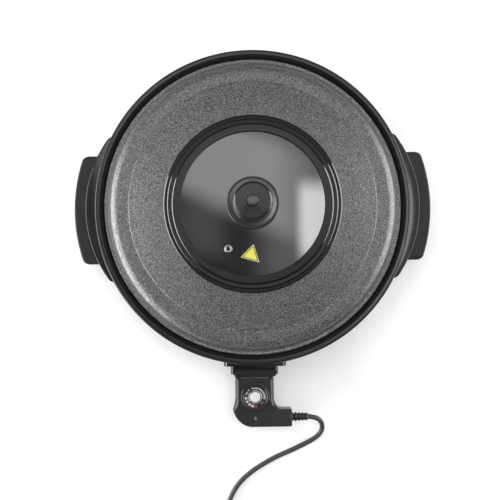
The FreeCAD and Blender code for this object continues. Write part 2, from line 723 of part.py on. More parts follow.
def sensing_probe():
    """Steel probe that reaches under the pan, with its collar inside the housing."""
    tip = Part.makeSphere(PROBE_R, V(0, -128.0 - PROBE_R, TERMINAL_Z))
    probe = rod(PROBE_R, (0, -128.0 - PROBE_R, TERMINAL_Z), (0, -214.0, TERMINAL_Z)).fuse(tip)
    collar = rod(5.4, (0, -205.0, TERMINAL_Z), (0, -209.0, TERMINAL_Z))
    return probe.fuse(collar).removeSplitter()


def contact_sleeves():
    """Two brass sleeves that grip the pins."""
    sleeves = []
    for side in (-1, 1):
        x = side * TERMINAL_X
        sleeve = rod(5.0, (x, -203.0, TERMINAL_Z), (x, -223.0, TERMINAL_Z))
        sleeves.append(sleeve.cut(rod(PIN_R + RUNNING, (x, -200.0, TERMINAL_Z), (x, -221.0, TERMINAL_Z))))
    return group(sleeves)


def switch_base():
    """Ceramic block behind the contact sleeves."""
    return block((-19.0, 19.0), (-231.0, -223.0), (16.0, 36.0))


def bimetal_blade():
    """Bimetal strip and its contact arm under the dial's shaft."""
    arm = block((-3.5, 3.5), (-262.0, -231.0), (29.0, 29.8))
    stop = Part.makeCylinder(2.4, 1.2, V(0, DIAL_Y, 29.8))
    return arm.fuse(stop)


def pilot_lamp():
    """Small neon lamp beside the shaft."""
    return rod(2.8, (11.0, -250.0, 33.0), (11.0, -264.0, 33.0))


def cord_clamp():
    """Saddle that holds the lead inside the foot."""
    return block((26.0, 34.0), (-292.0, -278.0), (HOUSING_Z[0] + HOUSING_WALL, 22.0))


def strain_relief():
    """Tapered, ribbed sleeve where the lead leaves the housing."""
    start = FOOT_END_X
    length = RELIEF_END_X - start
    relief = Part.makeCone(6.2, 4.9, length, V(start, RELIEF_Y, TERMINAL_Z), V(1, 0, 0))
    neck = rod(5.0, (start - 2.2, RELIEF_Y, TERMINAL_Z), (start, RELIEF_Y, TERMINAL_Z))
    inner = rod(6.4, (start - 4.2, RELIEF_Y, TERMINAL_Z), (start - 2.2, RELIEF_Y, TERMINAL_Z))
    relief = relief.fuse(neck).fuse(inner)
    for number in range(4):
        x = start + 3.0 + 4.6 * number
        groove = rod(9.0, (x, RELIEF_Y, TERMINAL_Z), (x + 1.6, RELIEF_Y, TERMINAL_Z))
        core = rod(4.3, (x, RELIEF_Y, TERMINAL_Z), (x + 1.6, RELIEF_Y, TERMINAL_Z))
        relief = relief.cut(groove.cut(core))
    return relief.removeSplitter()


# ---------------------------------------------------------------- dial
def dial_knob():
    """Round dial with a printed scale; its rim stands a little above the housing."""
    knob = turned((0, HOUSING_Z[1] - 0.9), [
        (DIAL_R, HOUSING_Z[1] - 0.9), (DIAL_R, 48.6),
        ((DIAL_R - 0.4, 49.7), (DIAL_R - 1.5, 50.2)),
        (16.2, 50.2), (15.2, 49.4), (9.6, 49.4), (9.6, 48.4), (0, 48.4),
    ])
    knob.translate(V(0, DIAL_Y, 0))
    return knob.cut(dial_shaft())


def dial_ring():
    """Bright ring round the cap."""
    return ring(7.2, 9.5, 48.4, 51.0, (0.0, DIAL_Y))


def dial_cap():
    """White cap in the middle of the dial."""
    cap = turned((0, 48.4), [(7.0, 48.4), (7.0, 51.0), ((5.8, 51.7), (4.2, 52.0)), (0, 52.0)])
    cap.translate(V(0, DIAL_Y, 0))
    return cap


def dial_shaft():
    """Shaft of the dial, down to the bimetal's stop."""
    return Part.makeCylinder(SHAFT_R, 15.0, V(0, DIAL_Y, 31.8))


# ---------------------------------------------------------------- coil and plug
def cord_coil():
    """Outer shape of the wound lead: two layers, three turns wide below."""
    x, y = COIL_C
    inner = COIL_MID_R - 3 * CORD_R
    outer = COIL_MID_R + 3 * CORD_R
    coil = turned((inner, 0.0), [(outer, 0.0), (outer, 6.0), (outer - 3.4, COIL_TOP), (inner + 3.4, COIL_TOP), (inner, 6.0)])
    coil.translate(V(x, y, 0))
    return coil


def cord_tie():
    """Band round the coil's turns."""
    x, y = COIL_C
    near = x + COIL_MID_R - 3 * CORD_R
    far = x + COIL_MID_R + 3 * CORD_R
    band = block((near - 0.9, far + 0.9), (y - 5.0, y + 5.0), (0.0, COIL_TOP + 0.9))
    return band.cut(block((near, far), (y - 6.0, y + 6.0), (0.6, COIL_TOP)))


def plug_body():
    """Round two-pin plug with its bend relief, lying on its side."""
    plug = turned((0, PLUG_TAIL_X), [
        (4.4, PLUG_TAIL_X), (5.6, PLUG_TAIL_X + 20.0), (9.5, PLUG_TAIL_X + 24.0), (13.0, PLUG_TAIL_X + 34.0),
        ((15.8, PLUG_TAIL_X + 39.5), (18.4, PLUG_TAIL_X + 42.0)),
        (18.4, PLUG_FACE_X - 1.0), (17.6, PLUG_FACE_X), (0, PLUG_FACE_X),
    ])
    plug.rotate(V(0, 0, 0), V(0, 1, 0), 90)
    plug.translate(V(0, PLUG_Y, PLUG_Z))
    plug = plug.cut(rod(2.5, (PLUG_FACE_X - 12.0, PLUG_Y, PLUG_Z + 10.0), (PLUG_FACE_X + 1.0, PLUG_Y, PLUG_Z + 10.0)))
    return plug.cut(plug_pins()).cut(plug_earth())


def plug_pins():
    """Two round contact pins, each with a thinner root in the plug's body."""
    pins = []
    for side in (-1, 1):
        y = PLUG_Y + side * PLUG_PIN_HALF
        root = rod(PLUG_PIN_R - 0.5, (PLUG_FACE_X - 10.0, y, PLUG_Z), (PLUG_FACE_X, y, PLUG_Z))
        pins.append(root.fuse(rod(PLUG_PIN_R, (PLUG_FACE_X, y, PLUG_Z), (PLUG_FACE_X + PLUG_PIN_LENGTH, y, PLUG_Z))))
    return group(pins)


def plug_earth():
    """Earth springs in the plug's two sides, above and below."""
    top = block((PLUG_FACE_X - 14.0, PLUG_FACE_X - 0.5), (PLUG_Y - 2.2, PLUG_Y + 2.2), (PLUG_Z + 16.6, PLUG_Z + 18.2))
    low = block((PLUG_FACE_X - 14.0, PLUG_FACE_X - 0.5), (PLUG_Y - 2.2, PLUG_Y + 2.2), (PLUG_Z - 18.2, PLUG_Z - 16.6))
    return group([top, low])


# ---------------------------------------------------------------- write every node
os.makedirs("parts", exist_ok=True)
save("pan_body", pan_body())
for name, shape in zip(("leg_right", "leg_left"), both(leg_moulding())):
    save(name, shape)
for name, shape in zip(("grip_right", "grip_left"), both(grip())):
    save(name, shape)
save("leg_screws", leg_screws())
save("grip_screws", group(both(group(grip_screws()))))
for number, place in enumerate((-FOOT_DEG, FOOT_DEG, 180.0 - FOOT_DEG, 180.0 + FOOT_DEG), start=1):
    save(f"foot_{number}", foot(place))
save("heating_element", heating_element())
save("terminal_pins", terminal_pins())
save("terminal_beads", terminal_beads())
save("terminal_plate", terminal_plate())
save("earth_blade", earth_blade())
save("probe_sleeve", probe_sleeve())
save("socket_guard", socket_guard())
save("guard_screws", guard_screws())

save("lid_shell", lid_shell())
save("lid_glass", lid_glass())
save("glass_frame", glass_frame())
save("glass_clamp", glass_clamp())
save("clamp_screws", clamp_screws())
save("knob_skirt", knob_skirt())
save("knob_grip", knob_grip())
save("knob_cap", knob_cap())
save("knob_screw", knob_screw())
save("knob_washer", knob_washer())
save("vent_grommet", vent_grommet())
save("warning_label", warning_label())

save("housing_top", housing_half(True))
save("housing_bottom", housing_half(False))
save("housing_screws", housing_screws())
save("sensing_probe", sensing_probe())
save("contact_sleeves", contact_sleeves())
save("switch_base", switch_base())
save("bimetal_blade", bimetal_blade())
save("pilot_lamp", pilot_lamp())
save("cord_clamp", cord_clamp())
save("strain_relief", strain_relief())
save("dial_knob", dial_knob())
save("dial_ring", dial_ring())
save("dial_cap", dial_cap())
save("dial_shaft", dial_shaft())

save("power_cord", lay_tube(LEAD_ROUTE, "power_cord"), about_pan=False)
save("cord_tail", lay_tube(TAIL_ROUTE, "cord_tail"), about_pan=False)
save("cord_coil", cord_coil(), about_pan=False)
save("cord_tie", cord_tie(), about_pan=False)
save("plug_body", plug_body(), about_pan=False)
save("plug_pins", plug_pins(), about_pan=False)
save("plug_earth", plug_earth(), about_pan=False)
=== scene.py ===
"""Round electric party pan with its lid, plug-in thermostat and mains lead.

Every size is in millimetres in the outlines below and becomes metres when a mesh is made.
The pan, the lid and the handles are built about the pan's own upright axis.
"""

import json
import math

import bmesh
import bpy
import numpy as np
from mathutils import Matrix, Vector


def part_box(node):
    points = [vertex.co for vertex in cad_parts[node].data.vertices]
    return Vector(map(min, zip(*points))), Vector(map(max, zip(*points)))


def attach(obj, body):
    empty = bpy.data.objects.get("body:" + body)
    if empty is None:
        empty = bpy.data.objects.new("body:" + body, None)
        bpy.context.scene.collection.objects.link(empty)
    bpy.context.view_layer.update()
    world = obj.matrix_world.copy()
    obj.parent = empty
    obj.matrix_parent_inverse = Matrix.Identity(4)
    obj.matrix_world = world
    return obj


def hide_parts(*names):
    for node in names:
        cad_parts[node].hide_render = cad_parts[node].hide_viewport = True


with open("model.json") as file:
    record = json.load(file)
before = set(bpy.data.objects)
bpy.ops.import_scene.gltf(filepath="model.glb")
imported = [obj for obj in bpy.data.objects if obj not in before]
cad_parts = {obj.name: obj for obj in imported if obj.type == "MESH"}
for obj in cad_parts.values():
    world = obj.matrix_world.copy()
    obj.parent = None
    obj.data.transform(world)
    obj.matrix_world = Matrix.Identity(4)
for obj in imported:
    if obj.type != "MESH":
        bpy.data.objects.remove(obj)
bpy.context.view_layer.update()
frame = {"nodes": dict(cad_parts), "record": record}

bl_info = {
    "name": "Electric party pan",
    "version": (1, 0, 0),
    "blender": (4, 5, 0),
    "location": "View3D > Sidebar > Party pan",
    "description": "Builds a round electric pan, its lid, its probe thermostat and its lead",
    "category": "Object",
}

MM = 0.001
CREASE = math.radians(38.0)  # faces that meet more sharply keep a hard edge


def middle(node):
    """Centre of a CAD node's box, in millimetres."""
    low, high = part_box(node)
    return (np.array(low) + np.array(high)) / 2.0 / MM


def span(node):
    """Lowest and highest corner of a CAD node's box, in millimetres."""
    low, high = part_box(node)
    return np.array(low) / MM, np.array(high) / MM


AXIS = middle("pan_body")[:2]
DIAL = middle("dial_cap")[:2]
RIM_R = (span("pan_body")[1][0] - span("pan_body")[0][0]) / 2.0
RIM_TOP = span("pan_body")[1][2]
KNOB_TOP = span("knob_cap")[1][2]
HOUSING_LOW = span("housing_bottom")[0]
HOUSING_HIGH = span("housing_top")[1]
PARTING_Z = span("housing_top")[0][2]


# ---------------------------------------------------------------- outlines
def rounded(corners, closed=True, step=math.radians(11)):
    """Outline through corners (a, b, radius), each rounded by an arc that touches its two sides."""
    corners = [tuple(corner) + (0.0,) * (3 - len(corner)) for corner in corners]
    count = len(corners)
    out = []
    for number, (a, b, radius) in enumerate(corners):
        here = np.array([a, b])
        if radius <= 0 or (not closed and number in (0, count - 1)):
            out.append(here[None])
            continue
        before = np.array(corners[number - 1][:2]) - here
        after = np.array(corners[(number + 1) % count][:2]) - here
        reach_in, reach_out = np.linalg.norm(before), np.linalg.norm(after)
        before, after = before / reach_in, after / reach_out
        turn = math.pi - math.acos(float(np.clip(before @ after, -1.0, 1.0)))
        trim = min(radius * math.tan(turn / 2.0), 0.49 * reach_in, 0.49 * reach_out)
        if turn < 1e-3:
            out.append(here[None])
            continue
        radius = trim / math.tan(turn / 2.0)
        inward = (before + after) / np.linalg.norm(before + after)
        centre = here + inward * radius / math.cos(turn / 2.0)
        start, end = here + before * trim - centre, here + after * trim - centre
        pieces = max(2, int(math.ceil(turn / step)))
        t = np.linspace(0.0, 1.0, pieces + 1)[:, None]
        out.append(centre + (np.sin((1 - t) * turn) * start + np.sin(t * turn) * end) / math.sin(turn))
    return np.vstack(out)


def smooth_line(points, pieces=6):
    """Catmull-Rom curve through points: on each span, the cubic whose end slopes are half the chord
    between that end's two neighbours."""
    p = np.asarray(points, float)
    ends = np.vstack([2 * p[0] - p[1], p, 2 * p[-1] - p[-2]])
    t = np.linspace(0.0, 1.0, pieces, endpoint=False)[None, :, None]
    a, b, c, d = (ends[shift:len(p) - 1 + shift, None, :] for shift in range(4))
    square, cube = 2 * a - 5 * b + 4 * c - d, 3 * b - a - 3 * c + d
    curve = 0.5 * (2 * b + (c - a) * t + square * t ** 2 + cube * t ** 3)
    return np.vstack([curve.reshape(-1, p.shape[1]), p[-1:]])


def outward(line, closed=True):
    """Unit normals from each point's neighbours: out of a closed outline, or to the right of an open line."""
    sign, along = 1.0, np.gradient(line, axis=0)
    if closed:
        x, y = line.T
        sign = 1.0 if np.sum(x * np.roll(y, -1) - y * np.roll(x, -1)) > 0 else -1.0
        along = np.roll(line, -1, 0) - np.roll(line, 1, 0)
    normal = np.stack([along[:, 1], -along[:, 0]], 1)
    return sign * (normal / np.maximum(np.linalg.norm(normal, axis=1, keepdims=True), 1e-9))


def spread(line, spacing, closed=True):
    """The same line with no side longer than spacing: each longer side is split evenly."""
    ends = np.vstack([line, line[:1]]) if closed else line
    sides = np.linalg.norm(np.diff(ends, axis=0), axis=1)
    parts = np.maximum(1, np.ceil(sides / spacing)).astype(int)
    where = np.concatenate([number + np.arange(n) / n for number, n in enumerate(parts)])
    if not closed:
        where = np.append(where, len(line) - 1.0)
    index = np.arange(len(ends))
    return np.stack([np.interp(where, index, ends[:, axis]) for axis in (0, 1)], 1)


# ---------------------------------------------------------------- meshes
def mesh_of(name, shape, finish_name, body, nodes=()):
    """Makes one closed, smooth piece from points and faces, with its faces outwards, in the named finish,
    gives it to its body and hides the CAD nodes it stands for."""
    points, faces = shape
    mesh = bpy.data.meshes.new(name)
    mesh.from_pydata((np.asarray(points, float) * MM).tolist(), [], faces)
    form = bmesh.new()
    form.from_mesh(mesh)
    bmesh.ops.remove_doubles(form, verts=form.verts, dist=2e-7)
    bmesh.ops.dissolve_degenerate(form, edges=form.edges, dist=1e-7)
    if form.calc_volume(signed=True) < 0:
        bmesh.ops.reverse_faces(form, faces=form.faces)
    form.to_mesh(mesh)
    form.free()
    mesh.shade_smooth()
    mesh.set_sharp_from_angle(angle=CREASE)
    mesh.materials.append(finish(finish_name))
    piece = bpy.data.objects.new(name, mesh)
    bpy.context.scene.collection.objects.link(piece)
    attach(piece, body)
    if nodes:
        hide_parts(*nodes)
    return piece


def skin(rings, closed=False, first=0):
    """Points and faces of a skin over rings, an array of m rings of n points. Ring i joins ring i + 1
    by quads; the last joins the first if closed, or else both ends get a lid."""
    m, n = rings.shape[:2]
    rows = np.arange(m if closed else m - 1)[:, None]
    ahead = (rows + 1) % m
    columns = np.arange(n)[None]
    beside = (columns + 1) % n
    quads = np.stack([rows * n + columns, rows * n + beside, ahead * n + beside, ahead * n + columns], -1)
    faces = (quads.reshape(-1, 4) + first).tolist()
    if not closed:
        faces.append((np.arange(n)[::-1] + first).tolist())
        faces.append((np.arange(n) + (m - 1) * n + first).tolist())
    return rings.reshape(-1, 3), faces


def joined(parts):
    """One set of points and faces from several."""
    points, faces, first = [], [], 0
    for some, their in parts:
        points.append(some)
        faces += [[corner + first for corner in face] for face in their]
        first += len(some)
    return np.vstack(points), faces


def turned(profile, centre=(0.0, 0.0), sides=192, closed=True):
    """Surface of revolution about an upright axis at centre: each (r, z) of the profile becomes the
    ring (centre + r cos a, centre + r sin a, z)."""
    a = np.linspace(0.0, 2 * math.pi, sides, endpoint=False)
    r, z = profile[:, :1], profile[:, 1:]
    rings = np.stack([centre[0] + r * np.cos(a), centre[1] + r * np.sin(a), z + 0 * a], -1)
    return skin(rings, closed=closed)


def turned_about(profile, start, direction, sides=48, closed=True):
    """The same about any axis: the profile's second number runs from start along direction."""
    points, faces = turned(profile, sides=sides, closed=closed)
    turn = np.array(Vector((0, 0, 1)).rotation_difference(Vector(direction)).to_matrix())
    return points @ turn.T + np.asarray(start, float), faces


PLANES = {"XY": (0, 1, 2), "XZ": (0, 2, 1), "YZ": (1, 2, 0)}


def stacked(rows, plane="XY", closed=False):
    """Skin over rows of (outline, inset, height): each outline is pulled in along its own normals by its
    inset and put at its height above the named plane."""
    order = PLANES[plane]
    rings = np.empty((len(rows), len(rows[0][0]), 3))
    for ring, (outline, inset, height) in zip(rings, rows):
        ring[:, order[:2]] = outline - outward(outline) * inset
        ring[:, order[2]] = height
    return skin(rings, closed=closed)


def slab(outline, levels, plane="XY"):
    """Prism with worked edges, from one outline and levels of (inset, height)."""
    return stacked([(outline, *level) for level in levels], plane)


def edges(low, high, round_low, round_high, steps=5):
    """Levels of a slab from low to high with quarter-round edges, and a flat strip beside each end."""
    t = np.linspace(0.0, math.pi / 2, steps + 1)
    below = [(round_low * (1 - math.sin(a)), low + round_low * (1 - math.cos(a))) for a in t]
    above = [(round_high * (1 - math.cos(a)), high - round_high * (1 - math.sin(a))) for a in t]
    return [(round_low + 0.5, low)] + below + above + [(round_high + 0.5, high)]


def tube(path, radius, sides=16):
    """Round tube along a path: each ring lies square to the path, turned from an upright reference."""
    path = np.asarray(path, float)
    along = np.gradient(path, axis=0)
    along /= np.linalg.norm(along, axis=1, keepdims=True)
    side = np.cross(along, [0.0, 0.0, 1.0])
    side /= np.linalg.norm(side, axis=1, keepdims=True)
    up = np.cross(side, along)
    a = np.linspace(0.0, 2 * math.pi, sides, endpoint=False)[None, :, None]
    rings = path[:, None] + radius * (np.cos(a) * side[:, None] + np.sin(a) * up[:, None])
    return skin(rings)


def crossed_head(centre, direction, radius, height):
    """Domed head of a screw. Points near the two arms of its cross are sunk to make the recess."""
    profile = rounded([(0, -0.4), (radius, -0.4), (radius, height * 0.45, 0.4), (radius * 0.55, height, 1.2),
            (0, height)])
    points, faces = turned_about(profile, centre, direction, sides=32)
    local = points - np.asarray(centre, float)
    direction = np.asarray(direction, float)
    lift = local @ direction
    flat = local - lift[:, None] * direction
    reach = np.linalg.norm(flat, axis=1)
    first = np.cross(direction, [0.0, 0.0, 1.0])
    if np.linalg.norm(first) < 0.1:
        first = np.array([1.0, 0.0, 0.0])
    first /= np.linalg.norm(first)
    angle = np.arctan2(flat @ np.cross(direction, first), flat @ first)
    in_slot = (np.abs(np.sin(2 * angle)) < 0.5) & (reach < radius * 0.72) & (lift > height * 0.5)
    return points - direction * (in_slot * height * 0.55)[:, None], faces


# ---------------------------------------------------------------- finishes
class Wiring:
    """The nodes of one material or world, with short ways to add nodes and to join them."""

    def __init__(self, owner):
        owner.use_nodes = True
        self.nodes, self.links = owner.node_tree.nodes, owner.node_tree.links
        self.place = self.nodes.new("ShaderNodeTexCoord").outputs

    def feed(self, socket, value):
        """Links a socket to another node's output, or sets it to a number or a colour."""
        if isinstance(value, bpy.types.NodeSocket):
            self.links.new(value, socket)
        else:
            socket.default_value = (*value, 1.0) if socket.type == "RGBA" else value

    def add(self, kind, result, inputs, **settings):
        """Adds a node with its settings, feeds its inputs and gives its output called result."""
        node = self.nodes.new("ShaderNode" + kind)
        for name, value in settings.items():
            setattr(node, name, value)
        for name, value in inputs.items():
            self.feed(node.inputs[name], value)
        return node.outputs[result]

    def math(self, kind, *values):
        return self.add("Math", "Value", dict(enumerate(values)), operation=kind)

    def ramp(self, source, low, high, out_low=0.0, out_high=1.0, **settings):
        """The source, moved from the span low to high onto the span out_low to out_high."""
        return self.add("MapRange", "Result", {"Value": source, "From Min": low, "From Max": high,
                "To Min": out_low, "To Max": out_high}, **settings)

    def bump(self, height, depth):
        """Normal of a surface whose height varies by depth, in millimetres."""
        return self.add("Bump", "Normal", {"Height": height, "Distance": depth * MM, "Strength": 1.0})


def wired(name, colour, roughness, metallic=0.0, coat=0.0, coat_roughness=0.06, shine=0.5, grain=None,
        gloss=None, mottle=None, flecks=None, stretch=(1.0, 1.0, 1.0)):
    """A surface finish in Object coordinates.

    grain = (size, depth): fine bump, stretched along the axes for a brushed look. gloss = (size, amount):
    roughness that varies. mottle = (size, colour): a second colour in soft patches. flecks = (size,
    colour, share): small spots of another colour. shine = strength of the plain reflection. Sizes are in
    millimetres."""
    material = bpy.data.materials.new(name)
    wiring = Wiring(material)
    shader = wiring.nodes["Principled BSDF"].inputs
    for socket, value in (("Base Color", colour), ("Roughness", roughness), ("Metallic", metallic),
            ("Coat Weight", coat), ("Coat Roughness", coat_roughness), ("Specular IOR Level", shine)):
        wiring.feed(shader[socket], value)

    def noise(size, detail, scale=(1.0, 1.0, 1.0)):
        place = wiring.add("Mapping", "Vector", {"Vector": wiring.place["Object"], "Scale": scale})
        return wiring.add("TexNoise", "Fac", {"Vector": place, "Scale": 1.0 / (size * MM), "Detail": detail})

    def paint(below, factor, top):
        mixed = wiring.add("Mix", "Result", {"Factor": factor, "A": below, "B": top}, data_type="RGBA")
        wiring.feed(shader["Base Color"], mixed)
        return mixed

    if mottle:
        colour = paint(colour, wiring.ramp(noise(mottle[0], 3.0), 0.35, 0.65), mottle[1])
    if flecks:
        size, spot, share = flecks
        paint(colour, wiring.ramp(noise(size, 1.0), 1.0 - share, 1.06 - share), spot)
    if gloss:
        size, amount = gloss
        level = wiring.ramp(noise(size, 3.0), 0.3, 0.7, roughness - amount, roughness + amount)
        wiring.feed(shader["Roughness"], level)
    if grain:
        wiring.feed(shader["Normal"], wiring.bump(noise(grain[0], 2.0, stretch), grain[1]))
    return material


# Colour, roughness and the rest of what wired takes, for each plain finish.
PLAIN = {
    "pan_coating": ((0.009, 0.009, 0.0094), 0.24, {
        "shine": 0.3, "grain": (0.5, 0.015), "gloss": (14.0, 0.04),
        "flecks": (0.9, (0.02, 0.02, 0.021), 0.35)}),
    "bakelite": ((0.006, 0.006, 0.0064), 0.12, {"shine": 0.35, "grain": (9.0, 0.01), "gloss": (20.0, 0.02)}),
    "knob_plastic": ((0.016, 0.016, 0.0165), 0.19, {"grain": (0.5, 0.005), "gloss": (10.0, 0.02)}),
    "grip_plastic": ((0.018, 0.018, 0.0185), 0.40, {"shine": 0.15, "grain": (0.35, 0.02),
        "gloss": (8.0, 0.03)}),
    "frame_plastic": ((0.008, 0.008, 0.0085), 0.11, {
        "shine": 0.42, "grain": (12.0, 0.01), "gloss": (18.0, 0.02)}),
    "housing_plastic": ((0.010, 0.010, 0.0105), 0.28, {
        "shine": 0.35, "grain": (0.3, 0.004), "gloss": (14.0, 0.012)}),
    "dial_plastic": ((0.009, 0.009, 0.0095), 0.22, {"shine": 0.4, "grain": (0.4, 0.008),
        "gloss": (3.0, 0.02)}),
    "cap_white": ((0.55, 0.55, 0.56), 0.32, {"coat": 0.1, "grain": (0.6, 0.01), "gloss": (3.0, 0.05)}),
    "print_white": ((0.40, 0.40, 0.40), 0.55, {"mottle": (0.8, (0.32, 0.32, 0.32))}),
    "print_grey": ((0.12, 0.12, 0.12), 0.55, {"mottle": (0.8, (0.09, 0.09, 0.09))}),
    "print_red": ((0.22, 0.015, 0.05), 0.5, {"mottle": (0.8, (0.17, 0.01, 0.035))}),
    "label_yellow": ((0.68, 0.63, 0.06), 0.35, {"coat": 0.2, "mottle": (3.0, (0.61, 0.57, 0.05))}),
    "label_edge": ((0.62, 0.61, 0.30), 0.4, {"coat": 0.2, "mottle": (2.0, (0.56, 0.55, 0.26))}),
    "label_border": ((0.05, 0.045, 0.012), 0.45, {"mottle": (1.5, (0.035, 0.03, 0.01))}),
    "lamp_glass": ((0.6, 0.16, 0.06), 0.08, {"mottle": (2.0, (0.7, 0.24, 0.1))}),
    "steel": ((0.30, 0.30, 0.31), 0.30, {
        "metallic": 1.0, "grain": (0.8, 0.01), "gloss": (3.0, 0.08), "stretch": (1.0, 8.0, 1.0)}),
    "element_steel": ((0.19, 0.17, 0.15), 0.42, {
        "metallic": 0.9, "grain": (0.6, 0.02), "gloss": (4.0, 0.08), "mottle": (22.0, (0.12, 0.10, 0.09))}),
    "chrome": ((0.34, 0.34, 0.35), 0.28, {"metallic": 1.0, "gloss": (3.0, 0.03)}),
    "brass": ((0.66, 0.46, 0.18), 0.3, {
        "metallic": 1.0, "grain": (0.5, 0.01), "mottle": (4.0, (0.5, 0.34, 0.13))}),
    "ceramic": ((0.72, 0.69, 0.62), 0.7, {"grain": (0.4, 0.03), "mottle": (3.0, (0.64, 0.6, 0.53))}),
    "foot_rubber": ((0.02, 0.02, 0.02), 0.72, {"grain": (0.5, 0.04), "gloss": (4.0, 0.06)}),
    "relief_rubber": ((0.009, 0.009, 0.0095), 0.36, {"grain": (0.4, 0.02), "gloss": (4.0, 0.06)}),
    "cord_sheath": ((0.032, 0.032, 0.034), 0.42, {
        "grain": (0.45, 0.02), "gloss": (9.0, 0.07), "mottle": (30.0, (0.030, 0.030, 0.032))}),
    "tie_plastic": ((0.015, 0.015, 0.015), 0.5, {"grain": (0.3, 0.02), "gloss": (3.0, 0.05)}),
    "plug_plastic": ((0.02, 0.02, 0.021), 0.42, {"grain": (0.35, 0.03), "gloss": (6.0, 0.06)}),
}


def lid_coating():
    """Grey stone-effect coating: dark and light grains of about a millimetre, dimpled."""
    look = bpy.context.scene.party_pan_look
    material = wired("lid_coating", tuple(look.lid_colour), 0.36, shine=0.8)
    wiring = Wiring(material)
    shader = wiring.nodes["Principled BSDF"].inputs
    place = wiring.place["Object"]
    grain = wiring.add("TexNoise", "Fac", {"Vector": place, "Scale": 1.0 / (look.lid_grain * MM),
            "Detail": 3.0, "Roughness": 0.65})
    cells = wiring.add("TexVoronoi", "Distance", {"Vector": place, "Scale": 0.55 / (look.lid_grain * MM)})
    shades = wiring.add("ValToRGB", "Color", {"Fac": grain})
    stops = shades.node.color_ramp.elements
    stops.new(0.5)
    stops[0].position, stops[2].position = 0.41, 0.60
    base = np.array(look.lid_colour)
    for stop, share in zip(stops, (0.1, 1.0, 4.2)):
        stop.color = (*(base * share), 1.0)
    wiring.feed(shader["Base Color"], shades)
    wiring.feed(shader["Roughness"], wiring.ramp(grain, 0.35, 0.65, 0.38, 0.25))
    wiring.feed(shader["Normal"], wiring.bump(wiring.math("MULTIPLY_ADD", cells, 0.6, grain), 0.30))
    return material


def smoked_glass():
    """Dark toughened glass: mostly its own grey, with a little light let through."""
    material = wired("lid_window", (0.018, 0.018, 0.019), 0.035, coat=0.6, coat_roughness=0.02,
            gloss=(40.0, 0.01))
    material.node_tree.nodes["Principled BSDF"].inputs["Transmission Weight"].default_value = 0.25
    return material


SPECIAL = {"lid_coating": lid_coating, "lid_window": smoked_glass}
MADE = {}


def finish(name):
    """The finish with this name, made when it is first asked for."""
    if name not in MADE:
        if name in SPECIAL:
            MADE[name] = SPECIAL[name]()
        else:
            colour, roughness, more = PLAIN[name]
            MADE[name] = wired(name, colour, roughness, **more)
    return MADE[name]


# ---------------------------------------------------------------- pan and lid shapes
LEG_SCREWS = (-22.0, 22.0, 158.0, 202.0)  # degrees round the pan
LEG_SCREW_R, LEG_SCREW_Z = 217.4, 62.0
GUARD_SCREW_X, GUARD_SCREW_Z = 36.5, 57.0
GLASS_TOP, GLASS_DROP, GLASS_R = 131.0, 3.5, 98.0
SHEET = 1.2  # thickness of the lid


def at_leg_screws(make, reach, *sizes, **more):
    """A shape at each leg screw, this far from the pan's axis and pointing outwards, joined."""
    made = []
    for degrees in LEG_SCREWS:
        a = math.radians(degrees)
        way = np.array([math.cos(a), math.sin(a), 0.0])
        made.append(make((*(AXIS + way[:2] * reach), LEG_SCREW_Z), way, *sizes, **more))
    return joined(made)


def guard_screw(side, y):
    """Place of the guard's screw on one side, y from the pan's axis."""
    return AXIS[0] + side * GUARD_SCREW_X, AXIS[1] + y, GUARD_SCREW_Z


def about_pan(profile, **more):
    """A turned shape about the pan's axis."""
    return turned(np.asarray(profile, float), AXIS, **more)


def pan_shape():
    """Deep pan: flat floor, flared wall, ledge for the lid and a rolled rim, with its screw bosses."""
    bead = 4.45
    profile = rounded([
        (0, 30), (186.6, 30, 14), (195.9, 79.6, 2.5), (198.0, RIM_TOP - 2 * bead, 1.0),
        (RIM_R, RIM_TOP - 2 * bead, bead), (RIM_R, RIM_TOP, bead),
        (203.6, RIM_TOP, 1.8), (200.4, 87.4, 1.5), (197.2, 84, 0.8), (193.5, 84, 1.0), (184.8, 33, 10),
            (0, 33),
    ], step=math.radians(8))
    leg_boss = rounded([(0, 0), (7.0, 0), (7.0, 8.4, 0.8), (0, 8.4)])
    guard_boss = rounded([(0, 0), (5.5, 0), (5.5, 12.0, 0.6), (0, 12.0)])
    return joined([about_pan(profile, sides=256),
            at_leg_screws(lambda place, way: turned_about(leg_boss, place, way), 190.2)]
            + [turned_about(guard_boss, guard_screw(side, -187.0), (0, -1, 0)) for side in (-1, 1)])


LID_CROWN = [(103.9, 125.3), (118, 121.7), (132, 117.6), (146, 112.9), (156, 109.4), (161.4, 107.6)]
LID_SHOULDER = [(164.2, 105.9), (174.5, 104.2), (180.8, 102.3), (187.2, 98.0), (189.8, 93.5), (190.7, 90.4)]
LID_EDGE = [(191.3, 88.4), (193.2, 87.8)]


def lid_shape():
    """Domed sheet: crown, small step, shoulder and rolled edge, of one thickness throughout.
    The inside is the outside moved along its own normals."""
    step = rounded([(161.4, 107.6), (163.0, 107.0, 0.8), (163.4, 106.2, 0.5), (164.2, 105.9)], closed=False)
    top = np.vstack([smooth_line(LID_CROWN, 5)[:-1], step[:-1], smooth_line(LID_SHOULDER, 6), LID_EDGE])
    inside = top + outward(top, closed=False) * SHEET
    bead_centre, bead_r = np.array([195.2, 86.0]), 1.95
    a = np.linspace(math.radians(125), math.radians(-160), 14)
    bead = bead_centre + bead_r * np.stack([np.cos(a), np.sin(a)], 1)
    return about_pan(np.vstack([top, bead, inside[::-1]]), sides=256)


def glass_shape():
    """Window glass, domed over its radius: z = top - drop (r / radius) squared."""
    r = np.linspace(0.0, GLASS_R, 20)
    top = np.stack([r, GLASS_TOP - GLASS_DROP * (r / GLASS_R) ** 2], 1)
    return about_pan(np.vstack([top, top[::-1] - [0.0, 4.0]]))


